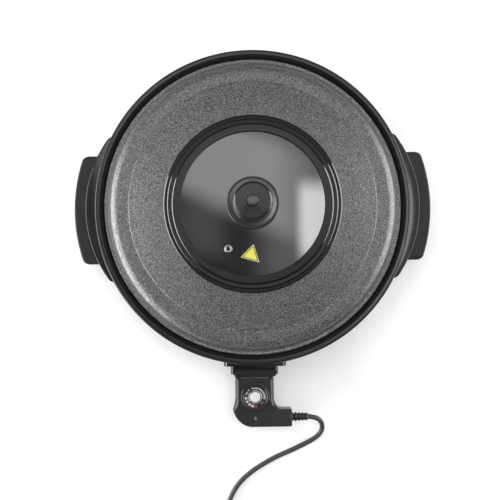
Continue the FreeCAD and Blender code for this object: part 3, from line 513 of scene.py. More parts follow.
def frame_shape():
    """Ridged ring round the window: a lip, a broad outward slope and two narrower ridges, stepping
    down outwards, each with a narrow slant on its outer side."""
    return about_pan(rounded([
        (93.6, 127.2), (93.6, 130.3, 0.5), (94.4, 130.9, 0.3), (102.7, 128.5, 0.4), (104.7, 127.2, 0.3),
        (105.2, 126.2, 0.2), (106.0, 126.0, 0.3), (108.8, 127.4, 0.4), (110.8, 126.1, 0.3),
            (111.2, 125.0, 0.2),
        (111.9, 124.8, 0.3), (113.8, 126.0, 0.4), (115.8, 124.7, 0.3), (115.8, 122.4, 0.3), (112.0, 123.4),
        (104.2, 125.4), (104.2, 122.0), (98.2, 122.0), (98.2, 127.2),
    ], step=math.radians(12)), sides=256)


def clamp_shape():
    """Ring under the lid that holds the window's frame."""
    return about_pan(rounded([(92.0, 118.6, 0.8), (112.4, 118.6, 0.8), (112.4, 121.2, 0.8), (104.4, 121.9),
            (97.8, 121.9), (97.8, 123.3), (92.0, 123.8, 0.6)]), sides=256)


def label_shape(share, soft, lift):
    """Three-cornered label at a share of its full size with rounded corners, laid on the domed glass:
    its height is the glass's own plus lift."""
    corners = np.array([(0.1, -52.6), (-16.9, -69.4), (7.5, -76.5)])
    centre = corners.mean(0)
    outline = rounded([(*(centre + (corner - centre) * share), soft) for corner in corners])
    points, faces = slab(spread(outline, 2.0), [(0.0, 0.0), (0.0, lift)])
    points[:, 2] += GLASS_TOP - GLASS_DROP * (points[:, 0] ** 2 + points[:, 1] ** 2) / GLASS_R ** 2
    return points + [AXIS[0], AXIS[1], 0.0], faces


def knob_shapes():
    """Skirt, mushroom and cap of the knob, each a turned shape."""
    skirt = rounded([(0, 130.6), (33.2, 130.6), (34.0, 131.4, 0.5), (34.0, 138.3, 1.6), (30.6, 139.6, 2.5),
            (25.8, 139.9, 1.0), (24.6, 141.3, 0.8), (0, 141.5)], step=math.radians(8))
    grip = rounded([(0, 141.5), (15.4, 141.5, 1.5), (14.0, 150.0, 6.0), (20.0, 158.0, 6.0),
            (24.4, 159.2, 2.0),
            (24.5, 167.4, 1.5), (21.6, 169.4, 1.6), (8.6, 173.2, 20.0), (7.5, 172.4), (0, 172.4)],
            step=math.radians(8))
    cap = rounded([(0, 172.0), (7.3, 172.0), (7.3, KNOB_TOP - 0.1, 1.5), (5.3, KNOB_TOP - 0.1, 0.9),
            (4.9, KNOB_TOP - 1.5, 0.4), (0, KNOB_TOP - 1.3)], step=math.radians(12))
    return skirt, grip, cap


# ---------------------------------------------------------------- handle shapes
LEG_ARC_R = 161.0
LEG_IN_R = 198.9
GRIP_ARC_R = 217.0


def leg_shape(side):
    """Crescent leg moulding as a section carried round the pan.

    At each angle the section is a channel, open below, between the pan-side arc and the outer arc.
    Its hollow closes and its foot drops towards the two ends, and the outer arc pulls in there by a
    quarter round."""
    outer_x = span("leg_right")[1][0]
    half = math.radians(28.0)
    marks = np.radians([0.0, 16.0, 16.05, 17.0, 17.05, 28.0])
    ends = half - np.radians(np.linspace(0, 2.3, 11))
    u = np.unique(np.concatenate([np.linspace(0, half, 40), marks, ends]))
    u = np.concatenate([-u[::-1], u[1:]])
    centre = outer_x - LEG_ARC_R
    reach = centre * np.cos(u) + np.sqrt(LEG_ARC_R ** 2 - (centre * np.sin(u)) ** 2)
    left = (half - np.abs(u)) * 205.0
    pull = 8.0 - np.sqrt(np.maximum(64.0 - np.maximum(8.0 - left, 0.0) ** 2, 0.0))
    solid = np.abs(u) > math.radians(16.02)
    foot = np.where(np.abs(u) > math.radians(17.02), 8.0, 30.0)
    roof = np.where(solid, foot, 70.5)
    top, soft, wall = 74.0, 2.0, 3.5
    quarter = np.linspace(0.0, math.pi / 2, 5)
    section = [(0.0, 0.0, "foot", 0), (0.0, 0.0, "top", -soft)]
    section += [(soft * (1 - math.cos(a)), 0.0, "top", -soft * (1 - math.sin(a))) for a in quarter[1:]]
    section += [(-soft * (1 - math.sin(a)), 1.0, "top", -soft * (1 - math.cos(a))) for a in quarter]
    section += [(0.0, 1.0, "foot", 0), (-wall, 1.0, "foot", 0), (-wall, 1.0, "roof", 0),
            (wall, 0.0, "roof", 0), (wall, 0.0, "foot", 0)]
    levels = {"foot": foot, "top": np.full_like(u, top), "roof": roof}
    radius = np.stack([LEG_IN_R + a + b * (reach - pull - LEG_IN_R) for a, b, _, _ in section], 1)
    height = np.stack([levels[name] + rise for _, _, name, rise in section], 1)
    x = AXIS[0] + side * radius * np.cos(u)[:, None]
    y = AXIS[1] + radius * np.sin(u)[:, None]
    return skin(np.stack([x, y, height], -1))


def grip_shape(side):
    """Grip bar as a rounded section carried along Y, between the leg's outer arc and its own.

    Both arcs are x = centre + sqrt(R squared - y squared). Near each end the section shrinks by a
    quarter round, in plan by 6 mm and in height by 1.5 mm."""
    low, high = span("grip_right")[0][2], span("grip_right")[1][2]
    half, corner = 73.0, 6.0
    t = np.linspace(0.0, math.pi / 2, 9)
    end = half - corner + corner * np.sin(t)
    y = np.concatenate([-end[::-1], np.linspace(-half + corner, half - corner, 49)[1:-1], end])
    deep = np.clip((np.abs(y) - half + corner) / corner, 0.0, 1.0)
    pull = 1.0 - np.sqrt(np.maximum(1.0 - deep ** 2, 0.0))
    outer = span("grip_right")[1][0] - 0.1 - GRIP_ARC_R + np.sqrt(GRIP_ARC_R ** 2 - y ** 2) - corner * pull
    inner = span("leg_right")[1][0] + 0.15 - LEG_ARC_R + np.sqrt(LEG_ARC_R ** 2 - y ** 2)
    soft = 3.0
    a = np.linspace(0.0, math.pi / 2, 6)
    shrink = 1.5 * pull[:, None]
    top_x = outer[:, None] - soft * (1 - np.sin(a))[None]
    top_z = high - soft * (1 - np.cos(a))[None] - shrink
    low_x = outer[:, None] - soft * (1 - np.cos(a))[None]
    low_z = low + soft * (1 - np.sin(a))[None] + shrink
    inner_x = np.stack([inner, inner], 1)
    inner_z = np.concatenate([low + shrink, high - shrink], 1)
    x = AXIS[0] + side * np.concatenate([top_x, low_x, inner_x], 1)
    z = np.concatenate([top_z, low_z, inner_z], 1)
    rings = np.stack([x, np.broadcast_to((AXIS[1] + y)[:, None], x.shape), z], -1)
    return skin(rings)


def element_shape():
    """Heating tube under the pan's floor: a ring, bent out by two arcs into two straight ends. Half of its
    path is worked out and the other half is its mirror image."""
    ring, bend, end_x = 118.0, 16.0, 13.0
    x = end_x + bend
    y = -math.sqrt((ring + bend) ** 2 - x ** 2)
    meet = math.atan2(y, x)
    turn = np.linspace(math.pi, meet + math.pi, 9)
    straight = np.stack([np.full(9, end_x), np.linspace(-188.0, y, 9)], 1)[:-1]
    corner = np.stack([x + bend * np.cos(turn), y + bend * np.sin(turn)], 1)
    sweep = np.linspace(meet, math.pi / 2, 60)[1:]
    half = np.vstack([straight, corner, ring * np.stack([np.cos(sweep), np.sin(sweep)], 1)])
    path = np.vstack([half, half[-2::-1] * [-1.0, 1.0]])
    return tube(np.column_stack([path + AXIS, np.full(len(path), 26.0)]), 3.95, 20)


# ---------------------------------------------------------------- thermostat shapes
FOOT_BACK = -272.6
BODY_BACK = -231.8


def housing_outline():
    """Plan of the housing about the pan's axis: a body with a bulged left side and a foot to the right."""
    front = HOUSING_LOW[1] - AXIS[1]
    return spread(rounded([
        (-27.0, BODY_BACK), (-27.0, -262.0, 30.0), (-30.6, -274.6, 5.0), (-25.4, -286.0, 26.0),
        (-12.5, front, 30.0), (49.5, front, 2.4), (49.5, FOOT_BACK, 2.4), (33.5, FOOT_BACK, 3.0),
            (28.0, FOOT_BACK + 3.4, 9.0),
        (25.2, -260.0, 12.0), (25.2, BODY_BACK),
    ], step=math.radians(7)), 2.5)


def housing_shapes():
    """Upper and lower shell, parted by a fine groove, and a block behind another groove that leads
    into the nose.

    The upper shell's shoulder is a broad slope along the two sides and a small round elsewhere. Each
    level's inset is small + (broad - small) w, with w one along the sides and fading out with y."""
    outline = housing_outline()
    top, low = 44.0, HOUSING_LOW[2]
    x, y = outline[:, 0], outline[:, 1]
    fade = np.clip(np.where(x < 0, (y + 279.0) / 11.0, (y + 271.5) / 6.0), 0.0, 1.0)
    side = (fade * fade * (3 - 2 * fade))[:, None]
    t = np.linspace(0.0, math.pi / 2, 7)
    small_in, small_down = 1.5 * (1 - np.cos(t)), 1.5 * (1 - np.sin(t))
    broad_in = np.interp(t, [0.0, 0.2, 1.35, math.pi / 2], [0.0, 0.4, 3.4, 3.9])
    broad_down = np.interp(t, [0.0, 0.2, 1.35, math.pi / 2], [4.2, 3.3, 0.4, 0.0])
    inset = small_in + side * (broad_in - small_in)
    down = small_down + side * (broad_down - small_down)
    one = np.ones((len(outline), 1))
    inset = np.hstack([one * 1.6, one * 0.4, one * 0.0, inset, inset[:, -1:] + 0.4])
    height = np.hstack([one * PARTING_Z, one * (PARTING_Z + 0.05), one * (PARTING_Z + 0.5), top - down,
            one * top])
    normal = outward(outline)
    at_back = y > BODY_BACK - 0.01
    normal[at_back] = np.stack([np.clip(x[at_back] / 25.0, -1.0, 1.0), 0 * x[at_back]], 1)
    flat = outline[None] - normal[None] * inset.T[:, :, None]
    upper = skin(np.concatenate([flat, height.T[:, :, None]], 2))
    lower = slab(outline, edges(low, PARTING_Z - 0.1, 1.6, 0.3))
    block = rounded([(-27.0, -215.0), (-27.0, BODY_BACK + 2.0), (25.2, BODY_BACK + 2.0), (25.2, -215.0)])
    core = rounded([(-24.5, -225.0), (-24.5, BODY_BACK - 6.0), (22.7, BODY_BACK - 6.0), (22.7, -225.0)])
    upper = joined([upper, slab(block, edges(PARTING_Z, 43.8, 0.2, 0.8)),
            slab(core, edges(PARTING_Z, 34.0, 0.2, 0.2))])
    lower = joined([lower, slab(block, edges(low, PARTING_Z - 0.1, 1.6, 0.2)),
            slab(core, edges(low + 1.4, PARTING_Z - 0.1, 0.2, 0.2))])
    return [(points + [AXIS[0], AXIS[1], 0.0], faces) for points, faces in (upper, lower)]


def nose_shapes():
    """The two halves of the nose that enters the guard, with a step where the body begins."""
    made = []
    for low, high, round_low, round_high in ((PARTING_Z, 44.8, 0.2, 2.4), (7.2, PARTING_Z - 0.1, 2.4, 0.2)):
        outline = rounded([(-28.4, low, round_low), (28.4, low, round_low), (28.4, high, round_high),
                (-28.4, high, round_high)])
        back, front = AXIS[1] - 202.0, AXIS[1] - 228.2
        made.append(slab(outline, edges(front, back, 0.8, 0.8), "XZ"))
    return made


def rib_shapes():
    """Short upright grip ribs on the housing's left side."""
    parts = []
    for number in range(6):
        y = AXIS[1] - 260.5 - 2.6 * number
        bulge = 27.2 + 3.1 * (number / 5.0) ** 1.3
        rib = rounded([(-bulge - 0.55, y - 0.8, 0.5), (-bulge + 2.0, y - 0.8), (-bulge + 2.0, y + 0.8),
                (-bulge - 0.55, y + 0.8, 0.5)])
        parts.append(slab(rib, edges(14.0, 37.0, 0.5, 0.5)))
    return joined(parts)


def guard_shape():
    """Socket guard: a flange with rounded corners and a mouth that tapers out of it."""
    flange = rounded([(-42.0, 8.0, 7.0), (42.0, 8.0, 7.0), (42.0, 66.0, 9.0), (-42.0, 66.0, 9.0)])
    levels = edges(AXIS[1] - 213.0, AXIS[1] - 199.0, 1.6, 0.4)
    outer = rounded([(-32.8, 4.5, 5.0), (31.3, 4.5, 5.0), (31.3, 47.5, 5.0), (-32.8, 47.5, 5.0)])
    inner = rounded([(-30.6, 6.7, 2.8), (29.1, 6.7, 2.8), (29.1, 45.3, 2.8), (-30.6, 45.3, 2.8)])
    front, back = AXIS[1] - 225.4, AXIS[1] - 209.0
    rows = [(outer, 0.0, back), (outer, 0.0, front + 1.0), (outer, 0.3, front + 0.3), (outer, 0.9, front),
            (inner, -0.5, front), (inner, 0.0, front + 0.5), (inner, 0.0, back)]
    return joined([slab(spread(flange, 8.0), levels, "XZ"), stacked(rows, "XZ", closed=True)])


def relief_shape():
    """Ribbed bend relief on the lead: rings that shrink towards the tip."""
    start = 49.5
    length = span("strain_relief")[1][0] - start
    corners = [(0.0, -1.5), (6.3, -1.5, 0.4), (6.3, 1.6, 0.6)]
    for number in range(4):
        at = 2.6 + number * 4.7
        r = 6.1 - 0.3 * number
        corners += [(4.5, at, 0.4), (4.5, at + 1.2, 0.4), (r, at + 1.5, 0.7), (r, at + 4.2, 0.7)]
    corners += [(4.4, length - 0.6, 0.5), (3.9, length, 0.4), (0.0, length)]
    _, y, z = middle("strain_relief")
    return turned_about(rounded(corners), (start, y, z), (1, 0, 0))


# ---------------------------------------------------------------- dial shapes
DIAL_FACE = 49.4


def sector(r_in, r_out, start, end, taper=0.0):
    """Thin printed mark on the dial's face between two clock angles, in degrees clockwise from the back.
    Taper is how much narrower the band is at its start."""
    a = np.radians(np.linspace(start, end, max(3, int(abs(end - start) / 5) + 2)))
    share = np.linspace(1.0, 0.0, len(a))
    inner = np.full(len(a), float(r_in))
    outer = r_out - taper * share
    edge = np.concatenate([np.stack([outer * np.sin(a), outer * np.cos(a)], 1),
            np.stack([inner * np.sin(a), inner * np.cos(a)], 1)[::-1]])
    return slab(edge + DIAL, [(0.0, DIAL_FACE - 0.1), (0.0, DIAL_FACE + 0.07)])


# ---------------------------------------------------------------- the lead
# The route from the strain relief to the coil, and from the coil to the plug.
LEAD_ROUTE = [
    (72.0, -241.75, 26.0), (82.5, -242.8, 24.6), (90.5, -249.0, 19.0), (93.0, -259.5, 12.5),
    (88.0, -269.0, 7.2), (78.5, -276.3, 4.2), (65.5, -282.9, 3.5), (48.0, -290.9, 3.5),
    (29.0, -298.5, 3.5), (11.0, -308.0, 3.5), (-6.0, -318.5, 3.5), (-20.5, -330.5, 3.5),
    (-31.0, -344.0, 3.5), (-38.0, -359.0, 3.5), (-43.5, -375.0, 3.5), (-48.5, -391.5, 3.5),
]
TAIL_ROUTE = [
    (3.0, -460.6, 11.5), (16.0, -461.3, 14.6), (29.0, -461.4, 17.4), (42.0, -461.0, 18.6),
]
CORD_D = 6.8


def coil_points():
    """Control points of the wound turns, 16 a turn: three turns side by side on the table, winding
    inwards, then two on top of them winding outwards. The radius drifts evenly from one turn to the
    next, and a control point stands out from the turn by 1 / cos of half its own step."""
    centre = np.array([-11.0, -420.0])
    start, turns = math.radians(168.0), 5.28
    t = np.arange(0.0, turns + 1e-6, 1.0 / 16.0)
    radius = np.interp(t, [0.0, 0.4, 1.0, 1.4, 2.0, 2.45, 3.0, 3.45, 4.0, 4.45, turns],
            [43.4, 43.3, 37.4, 36.6, 30.6, 29.9, 32.6, 33.2, 38.6, 40.0, 40.2])
    height = np.interp(t, [0.0, 2.55, 2.95, turns], [3.5, 3.5, 9.35, 9.35])
    a = start + 2 * math.pi * t
    radius = radius / math.cos(math.pi / 16.0)
    return np.stack([centre[0] + radius * np.cos(a), centre[1] + radius * np.sin(a), height], 1)


def lead_curve(material):
    """The lead as one smooth NURBS spline through its route, the coil's turns and its tail."""
    points = np.vstack([LEAD_ROUTE, coil_points(), TAIL_ROUTE]) * MM
    curve = bpy.data.curves.new("lead", "CURVE")
    curve.dimensions = "3D"
    spline = curve.splines.new("NURBS")
    spline.points.add(len(points) - 1)
    spline.points.foreach_set("co", np.hstack([points, np.ones((len(points), 1))]).ravel())
    spline.order_u = 3
    spline.use_endpoint_u = True
    spline.resolution_u = 6
    curve.bevel_depth = CORD_D / 2.0 * MM
    curve.bevel_resolution = 5
    curve.use_fill_caps = True
    curve.materials.append(material)
    lead = bpy.data.objects.new("lead", curve)
    bpy.context.scene.collection.objects.link(lead)
    return lead


def tie_shape():
    """Band round the coil: an upright ring of one outline, 0.8 mm thick, carried along Y."""
    (left, _, _), (right, _, top) = span("cord_tie")
    y, depth = middle("cord_tie")[1], 4.6
    outer = rounded([(left + 0.1, 0.05, 3.4), (right - 0.1, 0.05, 3.4), (right - 0.3, 8.0, 2.5),
            (right - 3.2, top - 0.1, 3.4), (left + 3.2, top - 0.1, 3.4), (left + 0.3, 8.0, 2.5)])
    rows = ((0.0, 0.3 - depth), (0.0, depth - 0.3), (0.3, depth), (0.8, depth), (0.8, -depth), (0.3, -depth))
    return stacked([(outer, inset, y + shift) for inset, shift in rows], "XZ", closed=True)


def plug_shape():
    """Round two-pin plug: bend relief with rings, waist and a thick face."""
    low, high = span("plug_body")
    centre = middle("plug_body")
    length = high[0] - low[0]
    corners = [(0.0, 0.0), (4.3, 0.0, 0.6)]
    for number in range(4):
        at = 2.0 + 4.4 * number
        r = 4.7 + 0.45 * number
        corners += [(r, at + 0.6, 0.5), (r, at + 3.0, 0.5), (r - 1.0, at + 3.4, 0.3),
                (r - 1.0, at + 4.2, 0.3)]
    corners += [(9.4, 22.5, 3.0), (12.6, 33.0, 8.0), (15.6, 39.5, 5.0), (18.3, 42.0, 3.0), (18.35, 55.6, 0.8),
            (17.4, length, 0.8), (14.6, length, 0.4), (14.4, length - 1.2, 0.3), (0.0, length - 1.2)]
    return turned_about(rounded(corners), (low[0], centre[1], centre[2]), (1, 0, 0), sides=72)


def pin_shapes():
    """Two pins with rounded tips."""
    _, y, z = middle("plug_pins")
    face = span("plug_body")[1][0] - 1.4
    reach = span("plug_pins")[1][0] - face
    pin = rounded([(0, 0), (2.4, 0), (2.4, reach, 1.4), (0, reach)])
    return joined([turned_about(pin, (face, y + side * 9.5, z), (1, 0, 0), 32) for side in (-1, 1)])


# ---------------------------------------------------------------- settings
class PartyPanLook(bpy.types.PropertyGroup):
    """Sizes and colours that a user would change."""
    lid_colour: bpy.props.FloatVectorProperty(
        name="Lid colour", description="Middle shade of the lid's coating", subtype="COLOR",
        size=3, min=0.0, max=1.0, default=(0.044, 0.044, 0.0445))
    lid_grain: bpy.props.FloatProperty(
        name="Lid grain", description="Size of the coating's grains, in millimetres", default=1.4, min=0.3,
        max=5.0)


class PartyPanStage(bpy.types.PropertyGroup):
    """Camera, floor and lights."""
    lens: bpy.props.FloatProperty(
        name="Lens", description="Focal length in millimetres", unit="CAMERA", default=76.83, min=10.0,
            max=300.0)
    camera_at: bpy.props.FloatVectorProperty(
        name="Camera", description="Where the camera stands", subtype="XYZ", unit="LENGTH", size=3,
        default=(-0.00845, -0.08484, 1.5))
    camera_to: bpy.props.FloatVectorProperty(
        name="Aim", description="The point in the middle of the view", subtype="XYZ", unit="LENGTH", size=3,
        default=(-0.00438, -0.01486, 0.0855))
    camera_roll: bpy.props.FloatProperty(
        name="Roll", description="Turn of the camera about its own line of sight", subtype="ANGLE",
        default=math.radians(0.85))
    floor_colour: bpy.props.FloatVectorProperty(
        name="Floor", description="Colour of the floor", subtype="COLOR", size=3, min=0.0, max=1.0,
        default=(0.85, 0.85, 0.85))
    floor_glow: bpy.props.FloatProperty(
        name="Floor glow", description="Light that the white floor gives by itself", default=0.08, min=0.0,
        max=2.0)
    ceiling: bpy.props.FloatProperty(
        name="Ceiling", description="Strength of the panels overhead", default=1.0, min=0.0, max=20.0)
    room: bpy.props.FloatProperty(
        name="Room", description="Strength of the room's own light", default=1.0, min=0.0, max=20.0)
    left: bpy.props.FloatProperty(
        name="Left box", description="Power of the left softbox", unit="POWER", default=48.0, min=0.0,
            max=500.0)
    right: bpy.props.FloatProperty(
        name="Right box", description="Power of the right softbox", unit="POWER", default=26.0, min=0.0,
        max=500.0)


# ---------------------------------------------------------------- operators
class PARTYPAN_OT_stage(bpy.types.Operator):
    """Floor, lights and camera"""
    bl_idname = "party_pan.stage"
    bl_label = "Stage"

    def execute(self, context):
        scene = context.scene
        stage = scene.party_pan_stage
        self.camera(scene, stage)
        paint = wired("floor", tuple(stage.floor_colour), 0.9)
        shader = paint.node_tree.nodes["Principled BSDF"].inputs
        shader["Emission Color"].default_value = (1.0, 1.0, 1.0, 1.0)
        shader["Emission Strength"].default_value = stage.floor_glow
        self.sheet(scene, "floor", 12.0, 0.0, paint)
        ceiling = self.sheet(scene, "ceiling", 1.0, 2.4, self.ceiling_glow(stage.ceiling))
        ceiling.visible_camera = False
        self.softbox(scene, "left_box", (-1.45, -0.25, 0.42), (2.0, 0.42), stage.left)
        self.softbox(scene, "right_box", (1.45, 0.10, 0.42), (1.5, 0.45), stage.right)
        scene.world = self.room_glow(stage.room)
        scene.view_settings.view_transform = "Standard"
        return {"FINISHED"}

    @staticmethod
    def camera(scene, stage):
        """Camera at one point, aimed at another and rolled about its line of sight."""
        at, to = Vector(stage.camera_at), Vector(stage.camera_to)
        forward = (to - at).normalized()
        up = Vector((math.sin(stage.camera_roll), math.cos(stage.camera_roll), 0.0))
        right = forward.cross(up).normalized()
        up = right.cross(forward)
        camera = bpy.data.objects.new("camera", bpy.data.cameras.new("camera"))
        camera.data.lens = stage.lens
        camera.data.sensor_width = 36.0
        camera.data.clip_end = 20.0
        camera.matrix_world = Matrix.Translation(at) @ Matrix((right, up, -forward)).transposed().to_4x4()
        scene.collection.objects.link(camera)
        scene.camera = camera

    @staticmethod
    def sheet(scene, name, half, height, material):
        """Level square sheet about the upright axis, which isn't part of the object."""
        mesh = bpy.data.meshes.new(name)
        corners = [(x * half, y * half, height) for x, y in ((-1, -1), (1, -1), (1, 1), (-1, 1))]
        mesh.from_pydata(corners, [], [(0, 1, 2, 3)])
        mesh.materials.append(material)
        sheet = bpy.data.objects.new(name, mesh)
        scene.collection.objects.link(sheet)
        return sheet

    @staticmethod
    def ceiling_glow(strength):
        """Glow of the ceiling: soft-edged panels added up, each a product of four smooth steps,
        (x from, x to, y from, y to, soft width in x and in y, slant of its near edge, strength)."""
        panels = ((-1.2, 0.30, 0.13, 0.85, 0.80, 0.26, 0.45, 3.4),
                (-1.2, -0.22, -0.14, 0.28, 0.22, 0.22, 0.0, 0.55),
                (0.08, 1.2, -0.7, 1.2, 0.34, 0.34, 0.0, 1.1), (0.375, 0.72, -0.17, 0.40, 0.12, 0.2, 0.0, 7.6))
        material = bpy.data.materials.new("ceiling")
        wiring = Wiring(material)
        wiring.nodes.remove(wiring.nodes["Principled BSDF"])
        split = wiring.add("SeparateXYZ", "X", {"Vector": wiring.place["Object"]}).node.outputs

        def band(source, start, end, soft):
            first, last = (wiring.ramp(source, edge - soft / 2, edge + soft / 2,
                    interpolation_type="SMOOTHSTEP")
                    for edge in (start, end))
            return wiring.math("SUBTRACT", first, last)

        total = 0.15
        for x_from, x_to, y_from, y_to, soft_x, soft_y, slant, power in panels:
            y = wiring.math("ADD", wiring.math("MULTIPLY", split["X"], slant), split["Y"])
            panel = wiring.math("MULTIPLY", band(split["X"], x_from, x_to, soft_x),
                    band(y, y_from, y_to, soft_y))
            total = wiring.math("ADD", wiring.math("MULTIPLY", panel, power), total)
        glow = wiring.add("Emission", "Emission", {"Strength": wiring.math("MULTIPLY", total, strength)})
        wiring.feed(wiring.nodes["Material Output"].inputs["Surface"], glow)
        return material

    @staticmethod
    def room_glow(strength):
        """Light of the room: weak at the horizon, strongest high up and towards the back, as the
        ramp times strength times (1 + 0.6 y)."""
        world = bpy.data.worlds.new("studio")
        wiring = Wiring(world)
        split = wiring.add("SeparateXYZ", "X", {"Vector": wiring.place["Generated"]}).node.outputs
        rise = wiring.ramp(split["Z"], 0.38, 0.85, 0.03, 1.0, interpolation_type="SMOOTHSTEP")
        lean = wiring.math("MULTIPLY_ADD", split["Y"], 0.6 * strength, strength)
        back = wiring.nodes["Background"].inputs
        wiring.feed(back["Strength"], wiring.math("MULTIPLY", rise, lean))
        wiring.feed(back["Color"], (1.0, 1.0, 1.0))
        return world

    @staticmethod
    def softbox(scene, name, at, size, power):
        """Rectangular softbox that faces the appliance."""
        data = bpy.data.lights.new(name, "AREA")
        data.shape = "RECTANGLE"
        data.size, data.size_y = size
        data.energy = power
        lamp = bpy.data.objects.new(name, data)
        lamp.location = at
        lamp.rotation_mode = "QUATERNION"
        lamp.rotation_quaternion = (Vector((0, 0, 0.06)) - Vector(at)).to_track_quat("-Z", "Y")
        lamp.visible_camera = False
        scene.collection.objects.link(lamp)


class PARTYPAN_OT_lead(bpy.types.Operator):
    """Mains lead, its tie and its plug"""
    bl_idname = "party_pan.lead"
    bl_label = "Lead"

    def execute(self, context):
        lead = lead_curve(finish("cord_sheath"))
        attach(lead, "thermostat")
        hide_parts("power_cord", "cord_coil", "cord_tail")
        tie = mesh_of("tie", tie_shape(), "tie_plastic", "thermostat", ["cord_tie"])
        plug = mesh_of("plug", plug_shape(), "plug_plastic", "thermostat", ["plug_body"])
        pins = mesh_of("pins", pin_shapes(), "chrome", "thermostat", ["plug_pins"])
        return {"FINISHED"}


class PARTYPAN_OT_pan(bpy.types.Operator):
    """Pan with its rolled rim"""
    bl_idname = "party_pan.pan"
    bl_label = "Pan"

    def execute(self, context):
        mesh_of("pan", pan_shape(), "pan_coating", "base", ["pan_body"])
        return {"FINISHED"}


class PARTYPAN_OT_lid(bpy.types.Operator):
    """Lid sheet, window, frame, vent and label"""
    bl_idname = "party_pan.lid"
    bl_label = "Lid"

    def execute(self, context):
        mesh_of("lid_sheet", lid_shape(), "lid_coating", "lid", ["lid_shell"])
        mesh_of("window", glass_shape(), "lid_window", "lid", ["lid_glass"])
        mesh_of("window_frame", frame_shape(), "frame_plastic", "lid", ["glass_frame"])
        mesh_of("window_clamp", clamp_shape(), "frame_plastic", "lid", ["glass_clamp"])
        eyelet = rounded([(2.0, 123.4), (5.2, 123.4, 0.3), (5.2, 124.8, 0.3), (3.6, 125.2), (3.6, 128.4),
                (5.2, 128.9, 0.2), (5.25, 130.2, 0.5), (4.2, 130.75, 0.6), (2.9, 130.5, 0.5),
                (2.05, 129.4, 0.3)])
        mesh_of("vent_eyelet", turned(eyelet, middle("vent_grommet")[:2], sides=64), "steel", "lid",
                ["vent_grommet"])
        for name, share, soft, lift, finish_name, nodes in (
                ("label", 1.0, 0.8, 0.12, "label_edge", ["warning_label"]),
                ("label_line", 0.88, 0.7, 0.17, "label_border", ()),
                ("label_face", 0.73, 0.5, 0.22, "label_yellow", ())):
            mesh_of(name, label_shape(share, soft, lift), finish_name, "lid", nodes)
        return {"FINISHED"}


class PARTYPAN_OT_knob(bpy.types.Operator):
    """Knob: skirt, mushroom and cap"""
    bl_idname = "party_pan.knob"
    bl_label = "Knob"

    def execute(self, context):
        for name, node, profile in zip(("skirt", "mushroom", "cap"), ("knob_skirt", "knob_grip", "knob_cap"),
                knob_shapes()):
            mesh_of("knob_" + name, about_pan(profile, sides=128), "knob_plastic", "lid", [node])
        return {"FINISHED"}


class PARTYPAN_OT_handles(bpy.types.Operator):
    """Leg mouldings, grips and feet on both sides"""
    bl_idname = "party_pan.handles"
    bl_label = "Handles"

    def execute(self, context):
        for side, word in ((1, "right"), (-1, "left")):
            mesh_of("leg_moulding_" + word, leg_shape(side), "bakelite", "base", ["leg_" + word])
            mesh_of("handgrip_" + word, grip_shape(side), "grip_plastic", "base", ["grip_" + word])
        for number in range(1, 5):
            node = f"foot_{number}"
            top = span(node)[1][2]
            pad = rounded([(0, 0), (7.2, 0, 0.8), (7.9, 7.9, 0.5), (4.0, 8.0), (4.0, top, 0.3), (0, top)])
            mesh_of(f"pad_{number}", turned(pad, middle(node)[:2], sides=64), "foot_rubber", "base", [node])
        cup = rounded([(4.7, -1.0), (4.7, 0.5, 0.3), (6.2, 0.8, 0.4), (6.6, 0.1, 0.2), (6.6, -1.0)])
        mesh_of("leg_screw_heads", at_leg_screws(crossed_head, LEG_SCREW_R, 4.3, 1.2), "steel", "base",
                ["leg_screws"])
        mesh_of("leg_screw_cups", at_leg_screws(lambda place, way: turned_about(cup, place, way),
                LEG_SCREW_R),
                "bakelite", "base")
        return {"FINISHED"}


class PARTYPAN_OT_socket(bpy.types.Operator):
    """Socket guard and heating element"""
    bl_idname = "party_pan.socket"
    bl_label = "Socket and element"

    def execute(self, context):
        mesh_of("guard", guard_shape(), "bakelite", "base", ["socket_guard"])
        heads = [crossed_head(guard_screw(side, -212.9), (0, -1, 0), 3.8, 1.0) for side in (-1, 1)]
        mesh_of("guard_screw_heads", joined(heads), "steel", "base", ["guard_screws"])
        mesh_of("element_tube", element_shape(), "element_steel", "base", ["heating_element"])
        return {"FINISHED"}


class PARTYPAN_OT_thermostat(bpy.types.Operator):
    """Housing, pointer, ribs and bend relief"""
    bl_idname = "party_pan.thermostat"
    bl_label = "Thermostat"

    def execute(self, context):
        upper, lower = housing_shapes()
        nose_up, nose_low = nose_shapes()
        arrow = np.array([(0.0, 2.8), (-2.3, -2.6), (2.3, -2.6)]) + AXIS + [0.0, -284.2]
        for name, shape, finish_name, nodes, slot in (
                ("shell_top", joined([upper, nose_up]), "housing_plastic", ["housing_top"], None),
                ("shell_bottom", joined([lower, nose_low, rib_shapes()]), "housing_plastic",
                ["housing_bottom"], None),
                ("pointer", slab(arrow, [(0.0, 43.9), (0.0, 44.08)]), "print_grey", (), "housing_plastic"),
                ("bend_relief", relief_shape(), "relief_rubber", ["strain_relief"], None)):
            mesh_of(name, shape, finish_name, "thermostat", nodes)
        return {"FINISHED"}


